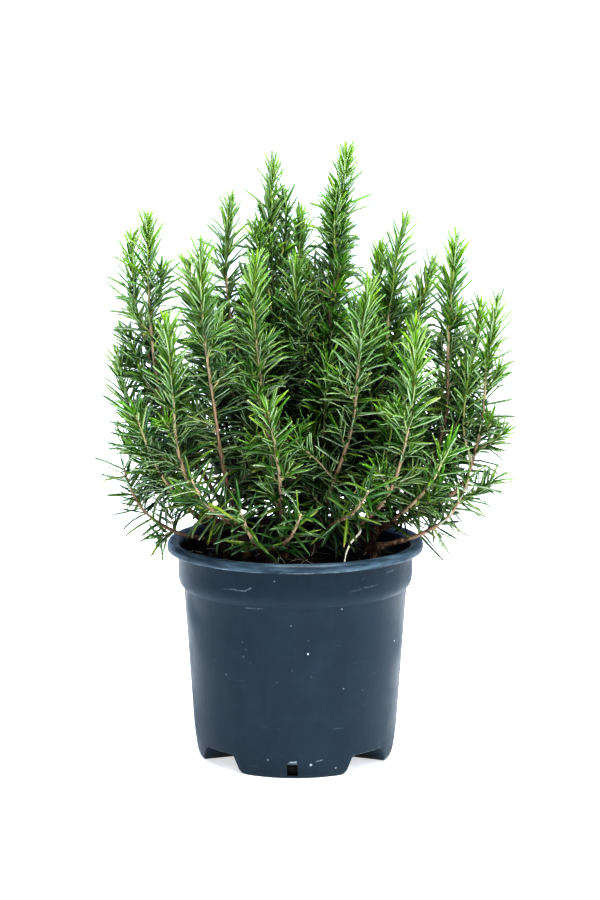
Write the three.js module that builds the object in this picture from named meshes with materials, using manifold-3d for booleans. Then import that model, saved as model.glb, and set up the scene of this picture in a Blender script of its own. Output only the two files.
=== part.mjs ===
// Rosemary in a three-litre nursery pot, in millimetres, +Z up.
// The origin is the middle of the pot's underside, on the surface that it stands on; -Y is the front.
import * as THREE from 'three';
import { mergeVertices } from 'three/addons/utils/BufferGeometryUtils.js';
import Module from 'manifold-3d';

const wasm = await Module();
wasm.setup();

// Driving dimensions of the pot
const RIM_RADIUS = 95;
const POT_HEIGHT = 163.5;
const BASE_RADIUS = 73.5;
const STEP_RADIUS = 83;
const STEP_HEIGHT = 127;
const STEP_RISE = 3;
const STEP_FLARE = 1.7;
const COLLAR_RADIUS = 86.3;
const LIP_HEIGHT = 7.5;
const LIP_THICKNESS = 1.4;
const LIP_ROUND = 3.5;
const COLLAR_TOP = POT_HEIGHT - LIP_HEIGHT + 2;
const WALL = 1.5;
const FLOOR = 2;
const CORNER = 5;
const POT_SIDES = 36;

// The feet: four arches leave four feet, and each foot has a drain slot in its middle
const FEET = 4;
const ARCH_HEIGHT = 11;
const ARCH_FOOT_WIDTH = 31;
const ARCH_TOP_WIDTH = 21;
const ARCH_DEPTH = 28;
const SLOT_WIDTH = 7;
const SLOT_HEIGHT = 9;
const SLOT_DEPTH = 12;

// The soil: level near the wall and mounded in the middle
const SOIL_EDGE = 149;
const SOIL_MOUND = 11;
const SOIL_BUMP = 1.4;
const SOIL_BUMP_WIDTH = 6;
const SOIL_SHOULDER = 2;
const SOIL_RINGS = [0.94, 0.66, 0.36, 0];
const GAP = 0.3;

// The wood: a trunk in its own hole in the soil, a knuckle, and a bare branch to each spray
const TRUNK_RADIUS = 3.4;
const KNUCKLE_RADIUS = 4.2;
const BRANCH_RADIUS = 2.3;
const BRANCH_SIDES = 6;
const TRUNK_SIDES = 6;
const TRUNK_DEPTH = 20;
const TRUNK_STUB = 3;
const BARE_LENGTH = 20;

// The needles: in threes, each three turned half a step from the three below
const SPRAY_RADIUS = 1.9;
const SPRAY_TIP_RADIUS = 1.1;
const WHORL_SPACING = 11;
const STEPS_PER_WHORL = 5;
const BASE_STEPS = 2;
const NEEDLES_PER_WHORL = 3;
const NEEDLE_LENGTH = 24;
const TIP_NEEDLE_LENGTH = 15;
const LOW_LEAN = 94;
const TIP_LEAN = 20;
const LEAN_REACH = 110;
const TILT_SPREAD = 6;
const TURN_SPREAD = 14;
const LENGTH_SPREAD = 0.14;
const REDRAWS = 8;
const REDRAW_SPREAD = 2;

// What keeps the needles clear: beads along each stem and needle, and a margin round the rim
const BEAD_SPACING = 2.5;
const BEAD_CLEARANCE = 1.2;
const NEEDLE_ROOT_BEAD = 1.8;
const NEEDLE_TIP_BEAD = 0.2;
const RIM_MARGIN = 3;
const STEM = -1;

const degrees = THREE.MathUtils.degToRad;

// Each clump stands in the soil at its foot [x, y] and forks at one point. The stems of its sprays
// run from the fork through the points of their way, the last of which is the tip.
const CLUMPS = {
  centre: {
    foot: [4, 12], fork: [6, 10, 180],
    ways: [
      [[18, 1, 214], [23, -5, 297], [29, -10, 377], [38, -15, 455]],
      [[-8, 18, 235], [-12, 28, 311], [-19, 37, 377], [-16, 44, 442]],
      [[6, 28, 235], [2, 44, 330], [4, 55, 405]],
    ],
  },
  front: {
    foot: [-8, -30], fork: [-9, -33, 172],
    ways: [
      [[-16, -28, 215], [-24, -24, 280], [-30, -27, 340], [-27, -30, 377]],
      [[-10, -55, 204], [-13, -66, 235], [-20, -80, 276]],
    ],
  },
  front_right: {
    foot: [14, -20], fork: [17, -23, 172],
    ways: [
      [[24, -38, 201], [41, -47, 256], [46, -53, 310], [53, -60, 363]],
      [[45, -33, 180], [68, -50, 208], [82, -60, 263], [86, -68, 323]],
      [[30, -53, 186], [43, -75, 199], [54, -94, 220]],
    ],
  },
  front_left: {
    foot: [-36, -24], fork: [-39, -26, 176],
    ways: [
      [[-50, -35, 213], [-59, -40, 273], [-66, -45, 332], [-67, -50, 389]],
      [[-64, -40, 190], [-83, -47, 232], [-88, -53, 285], [-91, -60, 337]],
      [[-50, -53, 188], [-63, -73, 203], [-75, -91, 228]],
    ],
  },
  left: {
    foot: [-56, 4], fork: [-61, 4, 170],
    ways: [
      [[-78, 2, 205], [-98, 0, 262], [-106, -1, 325], [-107, -5, 404]],
      [[-86, 11, 190], [-108, 12, 220], [-124, 11, 262], [-131, 10, 304]],
      [[-80, -14, 190], [-101, -32, 224], [-116, -46, 268]],
    ],
  },
  left_back: {
    foot: [-44, 28], fork: [-48, 30, 172],
    ways: [
      [[-78, 27, 222], [-103, 23, 280], [-118, 21, 335], [-121, 24, 388]],
      [[-70, 44, 205], [-93, 55, 255], [-112, 63, 318]],
      [[-78, 42, 186], [-105, 47, 210], [-124, 48, 252]],
    ],
  },
  back_left: {
    foot: [-22, 40], fork: [-25, 43, 175],
    ways: [
      [[-36, 42, 225], [-46, 42, 300], [-52, 50, 365], [-48, 58, 414]],
      [[-46, 58, 218], [-66, 68, 290], [-84, 76, 365]],
      [[-42, 72, 194], [-57, 95, 230], [-68, 116, 285]],
    ],
  },
  back: {
    foot: [6, 48], fork: [6, 53, 176],
    ways: [
      [[17, 62, 228], [28, 78, 310], [36, 92, 385]],
      [[-6, 72, 220], [-16, 90, 280], [-24, 108, 350]],
      [[9, 84, 197], [11, 108, 235], [13, 130, 288]],
    ],
  },
  back_right: {
    foot: [34, 36], fork: [37, 39, 176],
    ways: [
      [[46, 42, 235], [57, 44, 310], [64, 48, 378]],
      [[62, 50, 222], [86, 55, 300], [104, 61, 368]],
      [[50, 67, 197], [64, 90, 238], [75, 112, 298]],
    ],
  },
  right: {
    foot: [54, -6], fork: [60, -7, 171],
    ways: [
      [[94, 0, 210], [110, -2, 250], [112, -5, 320], [117, -10, 389]],
      [[90, -9, 184], [122, -9, 205], [136, -12, 251], [140, -15, 299], [147, -20, 346]],
      [[80, -28, 190], [98, -47, 214], [110, -62, 244]],
      [[70, -12, 215], [84, -17, 270], [87, -23, 330]],
    ],
  },
  right_back: {
    foot: [52, 18], fork: [55, 20, 174],
    ways: [
      [[61, 20, 243], [67, 23, 297], [71, 27, 350], [82, 30, 400]],
      [[84, 19, 215], [116, 17, 256], [131, 17, 296], [138, 20, 340]],
      [[80, 36, 210], [105, 47, 255], [122, 57, 308]],
      [[90, 28, 188], [115, 34, 214], [133, 37, 254]],
    ],
  },
  front_low: {
    foot: [-20, -50], fork: [-22, -53, 163],
    ways: [
      [[-31, -72, 178], [-40, -92, 206]],
      [[-5, -72, 177], [6, -92, 203]],
    ],
  },
  left_low: {
    foot: [-51, -14], fork: [-56, -14, 163],
    ways: [[[-90, -14, 172], [-114, -13, 190], [-128, -12, 224]]],
  },
  right_low: {
    foot: [57, -28], fork: [62, -29, 163],
    ways: [[[92, -30, 173], [113, -33, 188], [129, -36, 221]]],
  },
};

// A seeded draw of numbers from 0 to 1, the same in each build
function seededDraw(seed) {
  let state = seed;
  return () => {
    state = (Math.imul(state, 1664525) + 1013904223) >>> 0;
    return state / 2 ** 32;
  };
}

const draw = seededDraw(1207);
const spread = (width) => (draw() - 0.5) * 2 * width;

// A closed geometry as a solid that can be joined and cut
function solidOf(geometry) {
  const bare = geometry.clone();
  bare.deleteAttribute('normal');
  bare.deleteAttribute('uv');
  const merged = mergeVertices(bare);
  return new wasm.Manifold(new wasm.Mesh({
    numProp: 3,
    vertProperties: new Float32Array(merged.attributes.position.array),
    triVerts: new Uint32Array(merged.index.array),
  }));
}

function geometryOf(solid) {
  const result = solid.getMesh();
  const geometry = new THREE.BufferGeometry();
  geometry.setAttribute('position', new THREE.BufferAttribute(result.vertProperties, 3));
  geometry.setIndex(new THREE.BufferAttribute(result.triVerts, 1));
  return geometry;
}

const joined = (solids) => solids.reduce((whole, solid) => whole.add(solid));
const cut = (solid, cutters) => cutters.reduce((rest, cutter) => rest.subtract(cutter), solid);

// A solid of revolution about +Z from [radius, height] points that start and end on the axis
function turned(points) {
  const profile = points.map(([radius, height]) => new THREE.Vector2(radius, height));
  return new THREE.LatheGeometry(profile, POT_SIDES).rotateX(Math.PI / 2);
}

// The points of a quarter-round corner, from one angle to another about its centre
function corner(centreRadius, centreHeight, radius, from, to, steps) {
  return Array.from({ length: steps + 1 }, (_, i) => {
    const angle = degrees(THREE.MathUtils.lerp(from, to, i / steps));
    return [centreRadius + radius * Math.cos(angle), centreHeight + radius * Math.sin(angle)];
  });
}

// The wall's outline from the floor to under the lip, drawn in by an inset
function wallOutline(inset) {
  const rise = CORNER - inset;
  return [
    [0, inset ? FLOOR + inset - WALL : 0],
    ...corner(BASE_RADIUS - CORNER, CORNER + (inset ? FLOOR - WALL : 0), rise, -90, 0, 3),
    [STEP_RADIUS - inset, STEP_HEIGHT],
    [STEP_RADIUS + STEP_FLARE - inset, STEP_HEIGHT + STEP_RISE],
    [COLLAR_RADIUS - inset, COLLAR_TOP],
  ];
}

// The collar's outer radius at a height
function collarRadius(height) {
  const share = (height - STEP_HEIGHT - STEP_RISE) / (COLLAR_TOP - STEP_HEIGHT - STEP_RISE);
  return THREE.MathUtils.lerp(STEP_RADIUS + STEP_FLARE, COLLAR_RADIUS, share);
}

// The lip turns outward from the wall and down again, hollow underneath
function lipOutline() {
  const lipBottom = POT_HEIGHT - LIP_HEIGHT;
  const inner = RIM_RADIUS - LIP_THICKNESS;
  return [
    [inner - LIP_THICKNESS, POT_HEIGHT - 3 * LIP_THICKNESS],
    [inner, COLLAR_TOP],
    [inner, lipBottom],
    [RIM_RADIUS, lipBottom],
    ...corner(RIM_RADIUS - LIP_ROUND, POT_HEIGHT - LIP_ROUND, LIP_ROUND, 0, 90, 3),
    [COLLAR_RADIUS, POT_HEIGHT],
    [COLLAR_RADIUS - WALL, POT_HEIGHT - WALL / 2],
  ];
}

// One arch between two feet, reaching in from outside the wall
function arch(index, grow) {
  const outline = new THREE.Shape();
  const half = ARCH_FOOT_WIDTH / 2 + grow;
  const topHalf = ARCH_TOP_WIDTH / 2 + grow;
  outline.moveTo(-half, -WALL);
  outline.lineTo(half, -WALL);
  outline.lineTo(topHalf, ARCH_HEIGHT + grow);
  outline.lineTo(-topHalf, ARCH_HEIGHT + grow);
  outline.closePath();
  const depth = RIM_RADIUS - BASE_RADIUS + ARCH_DEPTH;
  const block = new THREE.ExtrudeGeometry(outline, { depth, bevelEnabled: false, steps: 1 });
  block.rotateX(Math.PI / 2).translate(0, -(BASE_RADIUS - ARCH_DEPTH) + grow, 0);
  return solidOf(block.rotateZ(degrees((index + 0.5) * 360 / FEET)));
}

// One drain slot through the bottom corner, in the middle of a foot
function slot(index) {
  const block = new THREE.BoxGeometry(SLOT_WIDTH, SLOT_DEPTH * 2, SLOT_HEIGHT + WALL);
  block.translate(0, -BASE_RADIUS, (SLOT_HEIGHT - WALL) / 2);
  return solidOf(block.rotateZ(degrees(index * 360 / FEET)));
}

const aroundTheFeet = (make) => Array.from({ length: FEET }, (_, index) => make(index));

function potGeometry() {
  const whole = solidOf(turned([...wallOutline(0), ...lipOutline(), [0, POT_HEIGHT - WALL / 2]]));
  const mouth = POT_HEIGHT + WALL;
  const inside = solidOf(turned([...wallOutline(WALL), [COLLAR_RADIUS - WALL, mouth], [0, mouth]]));
  const cavity = cut(inside, aroundTheFeet((index) => arch(index, WALL)));
  const arches = aroundTheFeet((index) => arch(index, 0));
  return geometryOf(cut(whole, [cavity, ...arches, ...aroundTheFeet(slot)]));
}

// The height of the soil's surface, without its bumps
function soilHeight(x, y) {
  const reach = Math.min(Math.hypot(x, y) / (COLLAR_RADIUS - WALL), 1);
  return SOIL_EDGE + SOIL_MOUND * Math.cos(reach * Math.PI / 2) ** 2;
}

function trunkHole([x, y]) {
  const bottom = soilHeight(x, y) - TRUNK_DEPTH;
  const height = 2 * TRUNK_DEPTH;
  const radius = TRUNK_RADIUS + GAP / Math.cos(Math.PI / TRUNK_SIDES);
  const hole = new THREE.CylinderGeometry(radius, radius, height, TRUNK_SIDES).rotateX(Math.PI / 2);
  return solidOf(hole.translate(x, y, bottom + height / 2));
}

function soilGeometry() {
  const inset = WALL + GAP;
  const shoulder = SOIL_EDGE - SOIL_SHOULDER;
  const wall = [...wallOutline(inset).slice(0, -1), [collarRadius(shoulder) - inset, shoulder]];
  const top = SOIL_RINGS.map((share) => [share * STEP_RADIUS, SOIL_EDGE]);
  const geometry = turned([...wall, ...top]);
  const place = geometry.attributes.position;
  for (let i = 0; i < place.count; i += 1) {
    const [x, y] = [place.getX(i), place.getY(i)];
    if (place.getZ(i) > shoulder + SOIL_SHOULDER / 2) {
      const bump = Math.sin(x / SOIL_BUMP_WIDTH) * Math.cos(y / SOIL_BUMP_WIDTH);
      place.setZ(i, soilHeight(x, y) + SOIL_BUMP * bump);
    }
  }
  const cutters = aroundTheFeet((index) => arch(index, inset));
  const holes = Object.values(CLUMPS).map(({ foot }) => trunkHole(foot));
  return geometryOf(cut(solidOf(geometry), [...cutters, ...holes]));
}

// A stretch of a longer curve, between two distances along it
class Stretch extends THREE.Curve {
  constructor(whole, from, to) {
    super();
    this.whole = whole;
    this.from = from / whole.getLength();
    this.to = to / whole.getLength();
  }

  getPoint(t, target = new THREE.Vector3()) {
    return this.whole.getPointAt(Math.min(THREE.MathUtils.lerp(this.from, this.to, t), 1), target);
  }
}

function stemCurve(fork, way) {
  return new THREE.CatmullRomCurve3([fork, ...way].map((point) => new THREE.Vector3(...point)));
}

// A bare round stick along a curve
function stick(curve, radius) {
  const outline = new THREE.Shape();
  outline.absarc(0, 0, radius, 0, 2 * Math.PI);
  const options = { steps: 1, extrudePath: curve, bevelEnabled: false, curveSegments: BRANCH_SIDES / 2 };
  return solidOf(new THREE.ExtrudeGeometry(outline, options));
}

function woodGeometry({ foot: [x, y], fork, ways }) {
  const surface = soilHeight(x, y);
  const depth = TRUNK_DEPTH - GAP;
  const stub = new THREE.CylinderGeometry(TRUNK_RADIUS, TRUNK_RADIUS, depth + TRUNK_STUB, TRUNK_SIDES);
  stub.rotateX(Math.PI / 2).translate(x, y, surface + (TRUNK_STUB - depth) / 2);
  const shin = new THREE.Vector3(x, y, surface + TRUNK_STUB / 2);
  const rise = new THREE.LineCurve3(shin, new THREE.Vector3(...fork));
  const knuckle = new THREE.IcosahedronGeometry(KNUCKLE_RADIUS).translate(...fork);
  const branches = ways.map((way) => (
    stick(new Stretch(stemCurve(fork, way), 0, BARE_LENGTH), BRANCH_RADIUS)));
  return geometryOf(joined([solidOf(stub), stick(rise, TRUNK_RADIUS), solidOf(knuckle), ...branches]));
}

// Everything that stands in the air, as beads along its middle line, so that needles can keep clear
class Crowd {
  constructor(cell) {
    this.cell = cell;
    this.cells = new Map();
  }

  key(point, dx = 0, dy = 0, dz = 0) {
    const index = (value, step) => Math.floor(value / this.cell) + step;
    return `${index(point.x, dx)},${index(point.y, dy)},${index(point.z, dz)}`;
  }

  add(beads) {
    for (const bead of beads) {
      const key = this.key(bead.point);
      if (!this.cells.has(key)) this.cells.set(key, []);
      this.cells.get(key).push(bead);
    }
  }

  // The beads in a bead's own cell and the cells next to it
  near(bead) {
    const steps = [-1, 0, 1];
    const pairs = steps.flatMap((dx) => steps.map((dy) => [dx, dy]));
    const keys = pairs.flatMap(([dx, dy]) => steps.map((dz) => this.key(bead.point, dx, dy, dz)));
    return keys.flatMap((key) => this.cells.get(key) ?? []);
  }

  isClear(bead, ignored) {
    const reach = bead.radius + BEAD_CLEARANCE;
    return this.near(bead).every((other) => (
      ignored(other) || other.point.distanceTo(bead.point) >= other.radius + reach));
  }
}

function beadsAlong(curve, from, to, radius, owner) {
  const count = Math.ceil((to - from) / BEAD_SPACING);
  return Array.from({ length: count + 1 }, (_, i) => {
    const distance = Math.min(from + i * BEAD_SPACING, to);
    return { point: curve.getPointAt(distance / curve.getLength()), radius, owner, whorl: STEM };
  });
}

function needleBeads(root, tip, owner, whorl) {
  const length = root.distanceTo(tip);
  const count = Math.ceil(length / BEAD_SPACING);
  return Array.from({ length: count + 1 }, (_, i) => {
    const radius = THREE.MathUtils.lerp(NEEDLE_ROOT_BEAD, NEEDLE_TIP_BEAD, i / count);
    return { point: root.clone().lerp(tip, i / count), radius, owner, whorl };
  });
}

// Needles stay out of the pot, clear of its rim and off the soil
function isAbovePot({ point, radius }) {
  const reach = Math.hypot(point.x, point.y);
  const floor = reach > COLLAR_RADIUS - 2 * RIM_MARGIN ? POT_HEIGHT : soilHeight(point.x, point.y);
  return reach > RIM_RADIUS + RIM_MARGIN || point.z - radius > floor + RIM_MARGIN / 2;
}

// A leafy stem: a slim three-sided core whose faces are drawn out into needles
class Spray {
  constructor(owner, curve, crowd) {
    this.owner = owner;
    this.crowd = crowd;
    const length = curve.getLength() - BARE_LENGTH - GAP;
    this.whorls = Math.max(2, Math.round(length / WHORL_SPACING));
    this.steps = this.whorls * STEPS_PER_WHORL + BASE_STEPS;
    this.path = new Stretch(curve, BARE_LENGTH + GAP, curve.getLength());
    this.frames = this.path.computeFrenetFrames(this.steps);
    this.points = [];
    this.faces = [];
  }

  // The direction that points out of the stem at an angle round it
  outward(step, angle) {
    const out = this.frames.normals[step].clone().multiplyScalar(Math.cos(angle));
    return out.addScaledVector(this.frames.binormals[step], Math.sin(angle));
  }

  addPoint(point) {
    this.points.push(point.x, point.y, point.z);
    return this.points.length / 3 - 1;
  }

  ring(step, turn) {
    const share = step / this.steps;
    const centre = this.path.getPointAt(share);
    const radius = THREE.MathUtils.lerp(SPRAY_RADIUS, SPRAY_TIP_RADIUS, share);
    return Array.from({ length: NEEDLES_PER_WHORL }, (_, side) => {
      const angle = turn + side * 2 * Math.PI / NEEDLES_PER_WHORL;
      return this.addPoint(this.outward(step, angle).multiplyScalar(radius).add(centre));
    });
  }

  pointAt(index) {
    return new THREE.Vector3().fromArray(this.points, 3 * index);
  }

  // A needle's tip, drawn again while it would come near anything else; null leaves the face bare
  needleTip(corners, whorl, step, angle) {
    const share = step / this.steps;
    const root = corners.reduce((sum, index) => sum.add(this.pointAt(index)), new THREE.Vector3());
    root.divideScalar(corners.length);
    const belowTip = (1 - share) * this.path.getLength();
    const lean = THREE.MathUtils.lerp(LOW_LEAN, TIP_LEAN, Math.exp(-belowTip / LEAN_REACH));
    const length = THREE.MathUtils.lerp(NEEDLE_LENGTH, TIP_NEEDLE_LENGTH, share ** 3);
    const ignored = (other) => other.owner === this.owner && [STEM, whorl].includes(other.whorl);
    for (let attempt = 0; attempt < REDRAWS; attempt += 1) {
      const more = REDRAW_SPREAD * attempt;
      const tilt = degrees(lean + spread(TILT_SPREAD + more));
      const way = this.outward(step, angle + degrees(spread(TURN_SPREAD + more)));
      way.multiplyScalar(Math.sin(tilt)).addScaledVector(this.frames.tangents[step], Math.cos(tilt));
      const tip = root.clone().addScaledVector(way, length * (1 - LENGTH_SPREAD * draw()));
      const beads = needleBeads(root, tip, this.owner, whorl);
      if (beads.slice(1).every((bead) => isAbovePot(bead) && this.crowd.isClear(bead, ignored))) {
        this.crowd.add(beads);
        return tip;
      }
    }
    return null;
  }

  whorl(index, lower, upper, turn, step) {
    for (let side = 0; side < NEEDLES_PER_WHORL; side += 1) {
      const next = (side + 1) % NEEDLES_PER_WHORL;
      const corners = [lower[side], lower[next], upper[next], upper[side]];
      const angle = turn + (side + 0.5) * 2 * Math.PI / NEEDLES_PER_WHORL;
      const tip = this.needleTip(corners, index, step, angle);
      if (tip) {
        const apex = this.addPoint(tip);
        corners.forEach((from, i) => this.faces.push(from, corners[(i + 1) % 4], apex));
      } else {
        this.faces.push(corners[0], corners[1], corners[2], corners[0], corners[2], corners[3]);
      }
    }
  }

  // Bare stem between two rings, the upper one turned half a side on from the lower
  bare(lower, upper) {
    lower.forEach((from, side) => {
      const next = (side + 1) % NEEDLES_PER_WHORL;
      this.faces.push(from, lower[next], upper[side], lower[next], upper[next], upper[side]);
    });
  }

  geometry() {
    const halfTurn = Math.PI / NEEDLES_PER_WHORL;
    let below = this.ring(0, 0);
    this.faces.push(below[0], below[2], below[1]);
    for (let index = 0; index < this.whorls; index += 1) {
      const step = index * STEPS_PER_WHORL + BASE_STEPS;
      const turn = (index + 1) * halfTurn;
      const lower = this.ring(step, turn);
      const upper = this.ring(step + 1, turn);
      this.bare(below, lower);
      this.whorl(index, lower, upper, turn, step);
      below = upper;
    }
    const apex = this.addPoint(this.path.getPointAt(1));
    below.forEach((from, side) => this.faces.push(from, below[(side + 1) % NEEDLES_PER_WHORL], apex));
    const geometry = new THREE.BufferGeometry();
    geometry.setAttribute('position', new THREE.Float32BufferAttribute(this.points, 3));
    geometry.setIndex(this.faces);
    return geometry;
  }
}

function material(color, roughness) {
  return new THREE.MeshStandardMaterial({ color, roughness, metalness: 0 });
}

function part(name, geometry, finish) {
  const mesh = new THREE.Mesh(geometry, finish);
  mesh.name = name;
  return mesh;
}

const plastic = material('#333f4d', 0.45);
const peat = material('#231a14', 0.95);
const bark = material('#8a6242', 0.8);
const leaf = material('#4c7a33', 0.5);

const plant = new THREE.Group();
plant.add(part('pot', potGeometry(), plastic));
plant.add(part('soil', soilGeometry(), peat));

// All stems take their place first, and then the needles, clump by clump
const crowd = new Crowd(6);
const stems = [];
for (const [clump, { foot, fork, ways }] of Object.entries(CLUMPS)) {
  plant.add(part(`wood_${clump}`, woodGeometry({ foot, fork, ways }), bark));
  ways.forEach((way, index) => {
    const curve = stemCurve(fork, way);
    const owner = `spray_${clump}_${index + 1}`;
    crowd.add(beadsAlong(curve, 0, BARE_LENGTH, BRANCH_RADIUS, `wood_${clump}`));
    crowd.add(beadsAlong(curve, BARE_LENGTH, curve.getLength(), SPRAY_RADIUS, owner));
    stems.push({ owner, curve });
  });
}
for (const { owner, curve } of stems) {
  plant.add(part(owner, new Spray(owner, curve, crowd).geometry(), leaf));
}

export default plant;
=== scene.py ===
"""The looks of a rosemary in a nursery pot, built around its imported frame.

Lengths in the classes are millimetres unless they say otherwise. Meshes are made in metres, in the
frame of the CAD: +Z up, -Y to the front, the origin in the middle of the pot's underside.
"""

import logging
import math
import random
from collections.abc import Sequence
from dataclasses import dataclass, field
from enum import Enum

import bmesh
import bpy
from mathutils import Matrix, Vector, noise


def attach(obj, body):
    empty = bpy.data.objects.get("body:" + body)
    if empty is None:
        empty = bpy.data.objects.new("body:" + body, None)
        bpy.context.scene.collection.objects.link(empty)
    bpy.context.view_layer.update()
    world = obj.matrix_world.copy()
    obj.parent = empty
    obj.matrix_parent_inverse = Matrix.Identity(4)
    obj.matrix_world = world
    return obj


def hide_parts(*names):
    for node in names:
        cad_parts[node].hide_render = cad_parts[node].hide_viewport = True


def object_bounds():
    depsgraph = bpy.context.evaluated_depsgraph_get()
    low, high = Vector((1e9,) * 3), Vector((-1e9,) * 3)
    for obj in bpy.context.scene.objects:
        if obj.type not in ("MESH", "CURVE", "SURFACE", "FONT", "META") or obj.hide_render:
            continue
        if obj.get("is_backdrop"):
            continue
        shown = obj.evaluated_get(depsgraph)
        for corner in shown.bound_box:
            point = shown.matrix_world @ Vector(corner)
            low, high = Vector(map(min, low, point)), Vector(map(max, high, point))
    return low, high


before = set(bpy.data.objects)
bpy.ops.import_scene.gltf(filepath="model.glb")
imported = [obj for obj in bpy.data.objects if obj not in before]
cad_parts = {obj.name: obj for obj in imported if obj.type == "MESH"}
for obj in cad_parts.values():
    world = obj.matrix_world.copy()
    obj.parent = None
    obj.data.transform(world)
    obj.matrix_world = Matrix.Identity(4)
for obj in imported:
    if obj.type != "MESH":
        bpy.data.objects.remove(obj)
CAD_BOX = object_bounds()

MM = 0.001
BODY = "root"
SEED = 1207
log = logging.getLogger("rosemary")

Point = tuple[float, float, float]
Hex = str


def linear(colour: Hex) -> tuple[float, float, float, float]:
    """Turns an sRGB hex colour to the linear values that a node takes.

    Args:
        colour: Six hex digits after a "#".

    Returns:
        Red, green and blue in linear light, and an alpha of 1.
    """
    shares = [int(colour[i : i + 2], 16) / 255 for i in (1, 3, 5)]
    red, green, blue = (c / 12.92 if c <= 0.04045 else ((c + 0.055) / 1.055) ** 2.4 for c in shares)
    return red, green, blue, 1.0


def add_node(
    tree: bpy.types.NodeTree,
    kind: str,
    *values: object,
    inputs: dict[str, object] | None = None,
    stops: Sequence[tuple[float, Hex]] = (),
    **settings: object,
) -> bpy.types.Node:
    """Adds a node with its settings, its values and its links.

    Args:
        tree: The tree that gets the node.
        kind: The node's type name without its "ShaderNode".
        values: A number, a hex colour, a vector or a socket for each input in use, in their order.
        inputs: The same for inputs by name.
        stops: A colour ramp's places and colours.
        settings: The node's own properties.

    Returns:
        The new node.
    """
    node = tree.nodes.new(f"ShaderNode{kind}")
    for name, value in settings.items():
        setattr(node, name, value)
    in_use = [socket for socket in node.inputs if socket.enabled]
    named = [(node.inputs[name], value) for name, value in (inputs or {}).items()]
    for socket, value in (*zip(in_use, values), *named):
        if isinstance(value, bpy.types.NodeSocket):
            tree.links.new(value, socket)
        else:
            socket.default_value = linear(value) if isinstance(value, str) else value
    for index, (place, colour) in enumerate(stops):
        elements = node.color_ramp.elements
        element = elements[index] if index < 2 else elements.new(place)
        element.position = place
        element.color = linear(colour)
    return node


def per_metre(size: float) -> float:
    """The scale of a pattern whose features are this many millimetres apart."""
    return 1 / (size * MM)


class Recipe:
    """A material's node tree while it is written, with the few joins of nodes that come often."""

    def __init__(self, name: str) -> None:
        """Starts an empty material.

        Args:
            name: The material's name, after what the real one is.
        """
        self.material = bpy.data.materials.new(name)
        self.material.use_nodes = True
        self.tree = self.material.node_tree
        self.tree.nodes.clear()
        self.place = self.add("TexCoord", out="Object")

    def add(self, kind: str, *values: object, out: str = "", **more: object) -> bpy.types.NodeSocket:
        """Adds a node to this material and gives one of its outputs.

        Args:
            kind: The node's type, as add_node takes it.
            values: Its inputs in use, in their order.
            out: The output's name, or nothing for the first one in use.
            more: The rest of what add_node takes.

        Returns:
            The output.
        """
        outputs = add_node(self.tree, kind, *values, **more).outputs
        return outputs[out] if out else next(socket for socket in outputs if socket.enabled)

    def patches(
        self,
        size: float,
        detail: float,
        span: tuple[float, float],
        shares: tuple[float, float] = (0.0, 1.0),
        place: bpy.types.NodeSocket | None = None,
    ) -> bpy.types.NodeSocket:
        """Soft patches: a noise of which only one span counts.

        Args:
            size: The size of its features.
            detail: How many finer layers it has.
            span: The noise's values where the patches begin and where they are whole.
            shares: What they are worth there.
            place: Coordinates, or None for the object's own.

        Returns:
            The patches' value.
        """
        cloud = self.add("TexNoise", place or self.place, per_metre(size), detail)
        return self.add("MapRange", cloud, *span, *shares)

    def painted(
        self, base: object, *coats: tuple[bpy.types.NodeSocket | float, Hex]
    ) -> bpy.types.NodeSocket:
        """Paints coats over a base colour.

        Args:
            base: The base, a hex colour or a socket.
            coats: Each coat's share and colour, in their order.

        Returns:
            The colour on top.
        """
        for share, colour in coats:
            base = self.add("Mix", share, base, colour, data_type="RGBA")
        return base

    def round_axis(self, reach: float) -> bpy.types.NodeSocket:
        """Coordinates that run round the upright axis, out from it and up.

        Args:
            reach: How far one radian round the axis counts as, in mm.

        Returns:
            The vector.
        """
        x, y, z = add_node(self.tree, "SeparateXYZ", self.place).outputs
        angle = self.add("Math", y, x, operation="ARCTAN2")
        round_it = self.add("Math", angle, reach * MM, operation="MULTIPLY")
        out = self.add("VectorMath", self.add("CombineXYZ", x, y), operation="LENGTH")
        return self.add("CombineXYZ", round_it, out, z)

    def near(self, place: Point, reach: float, sure: float, depth: float) -> bpy.types.NodeSocket:
        """How near the surface is to a place.

        Args:
            place: The place.
            reach: Where the value comes down to 0.
            sure: Up to where it is whole.
            depth: The value at the place.

        Returns:
            A value from 0 to depth.
        """
        distance = self.add("VectorMath", self.place, Vector(place) * MM, operation="DISTANCE")
        return self.add("MapRange", distance, sure * MM, reach * MM, depth, 0.0)

    def along(self, first: Point, last: Point, width: float, depth: float) -> bpy.types.NodeSocket:
        """How near the surface is to the straight line between two places.

        Args:
            first: Where the line starts.
            last: Where it ends.
            width: The distance from it where the value comes down to 0.
            depth: The value on the line.

        Returns:
            A value from 0 to depth.
        """
        seat, run = Vector(first) * MM, (Vector(last) - Vector(first)) * MM
        way = self.add("VectorMath", self.place, seat, operation="SUBTRACT")
        share = self.add("VectorMath", way, run / run.length_squared, operation="DOT_PRODUCT")
        held = self.add("MapRange", share, 0.0, 1.0)
        foot = self.add("VectorMath", run, held, operation="SCALE")
        distance = self.add("VectorMath", way, foot, operation="DISTANCE")
        return self.add("MapRange", distance, width * 0.3 * MM, width * MM, depth, 0.0)

    def finish(self, shader: bpy.types.NodeSocket) -> bpy.types.Material:
        """Joins the last shader to the output and hands over the material.

        Args:
            shader: The shader.

        Returns:
            The material.
        """
        add_node(self.tree, "OutputMaterial", shader)
        return self.material


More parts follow.
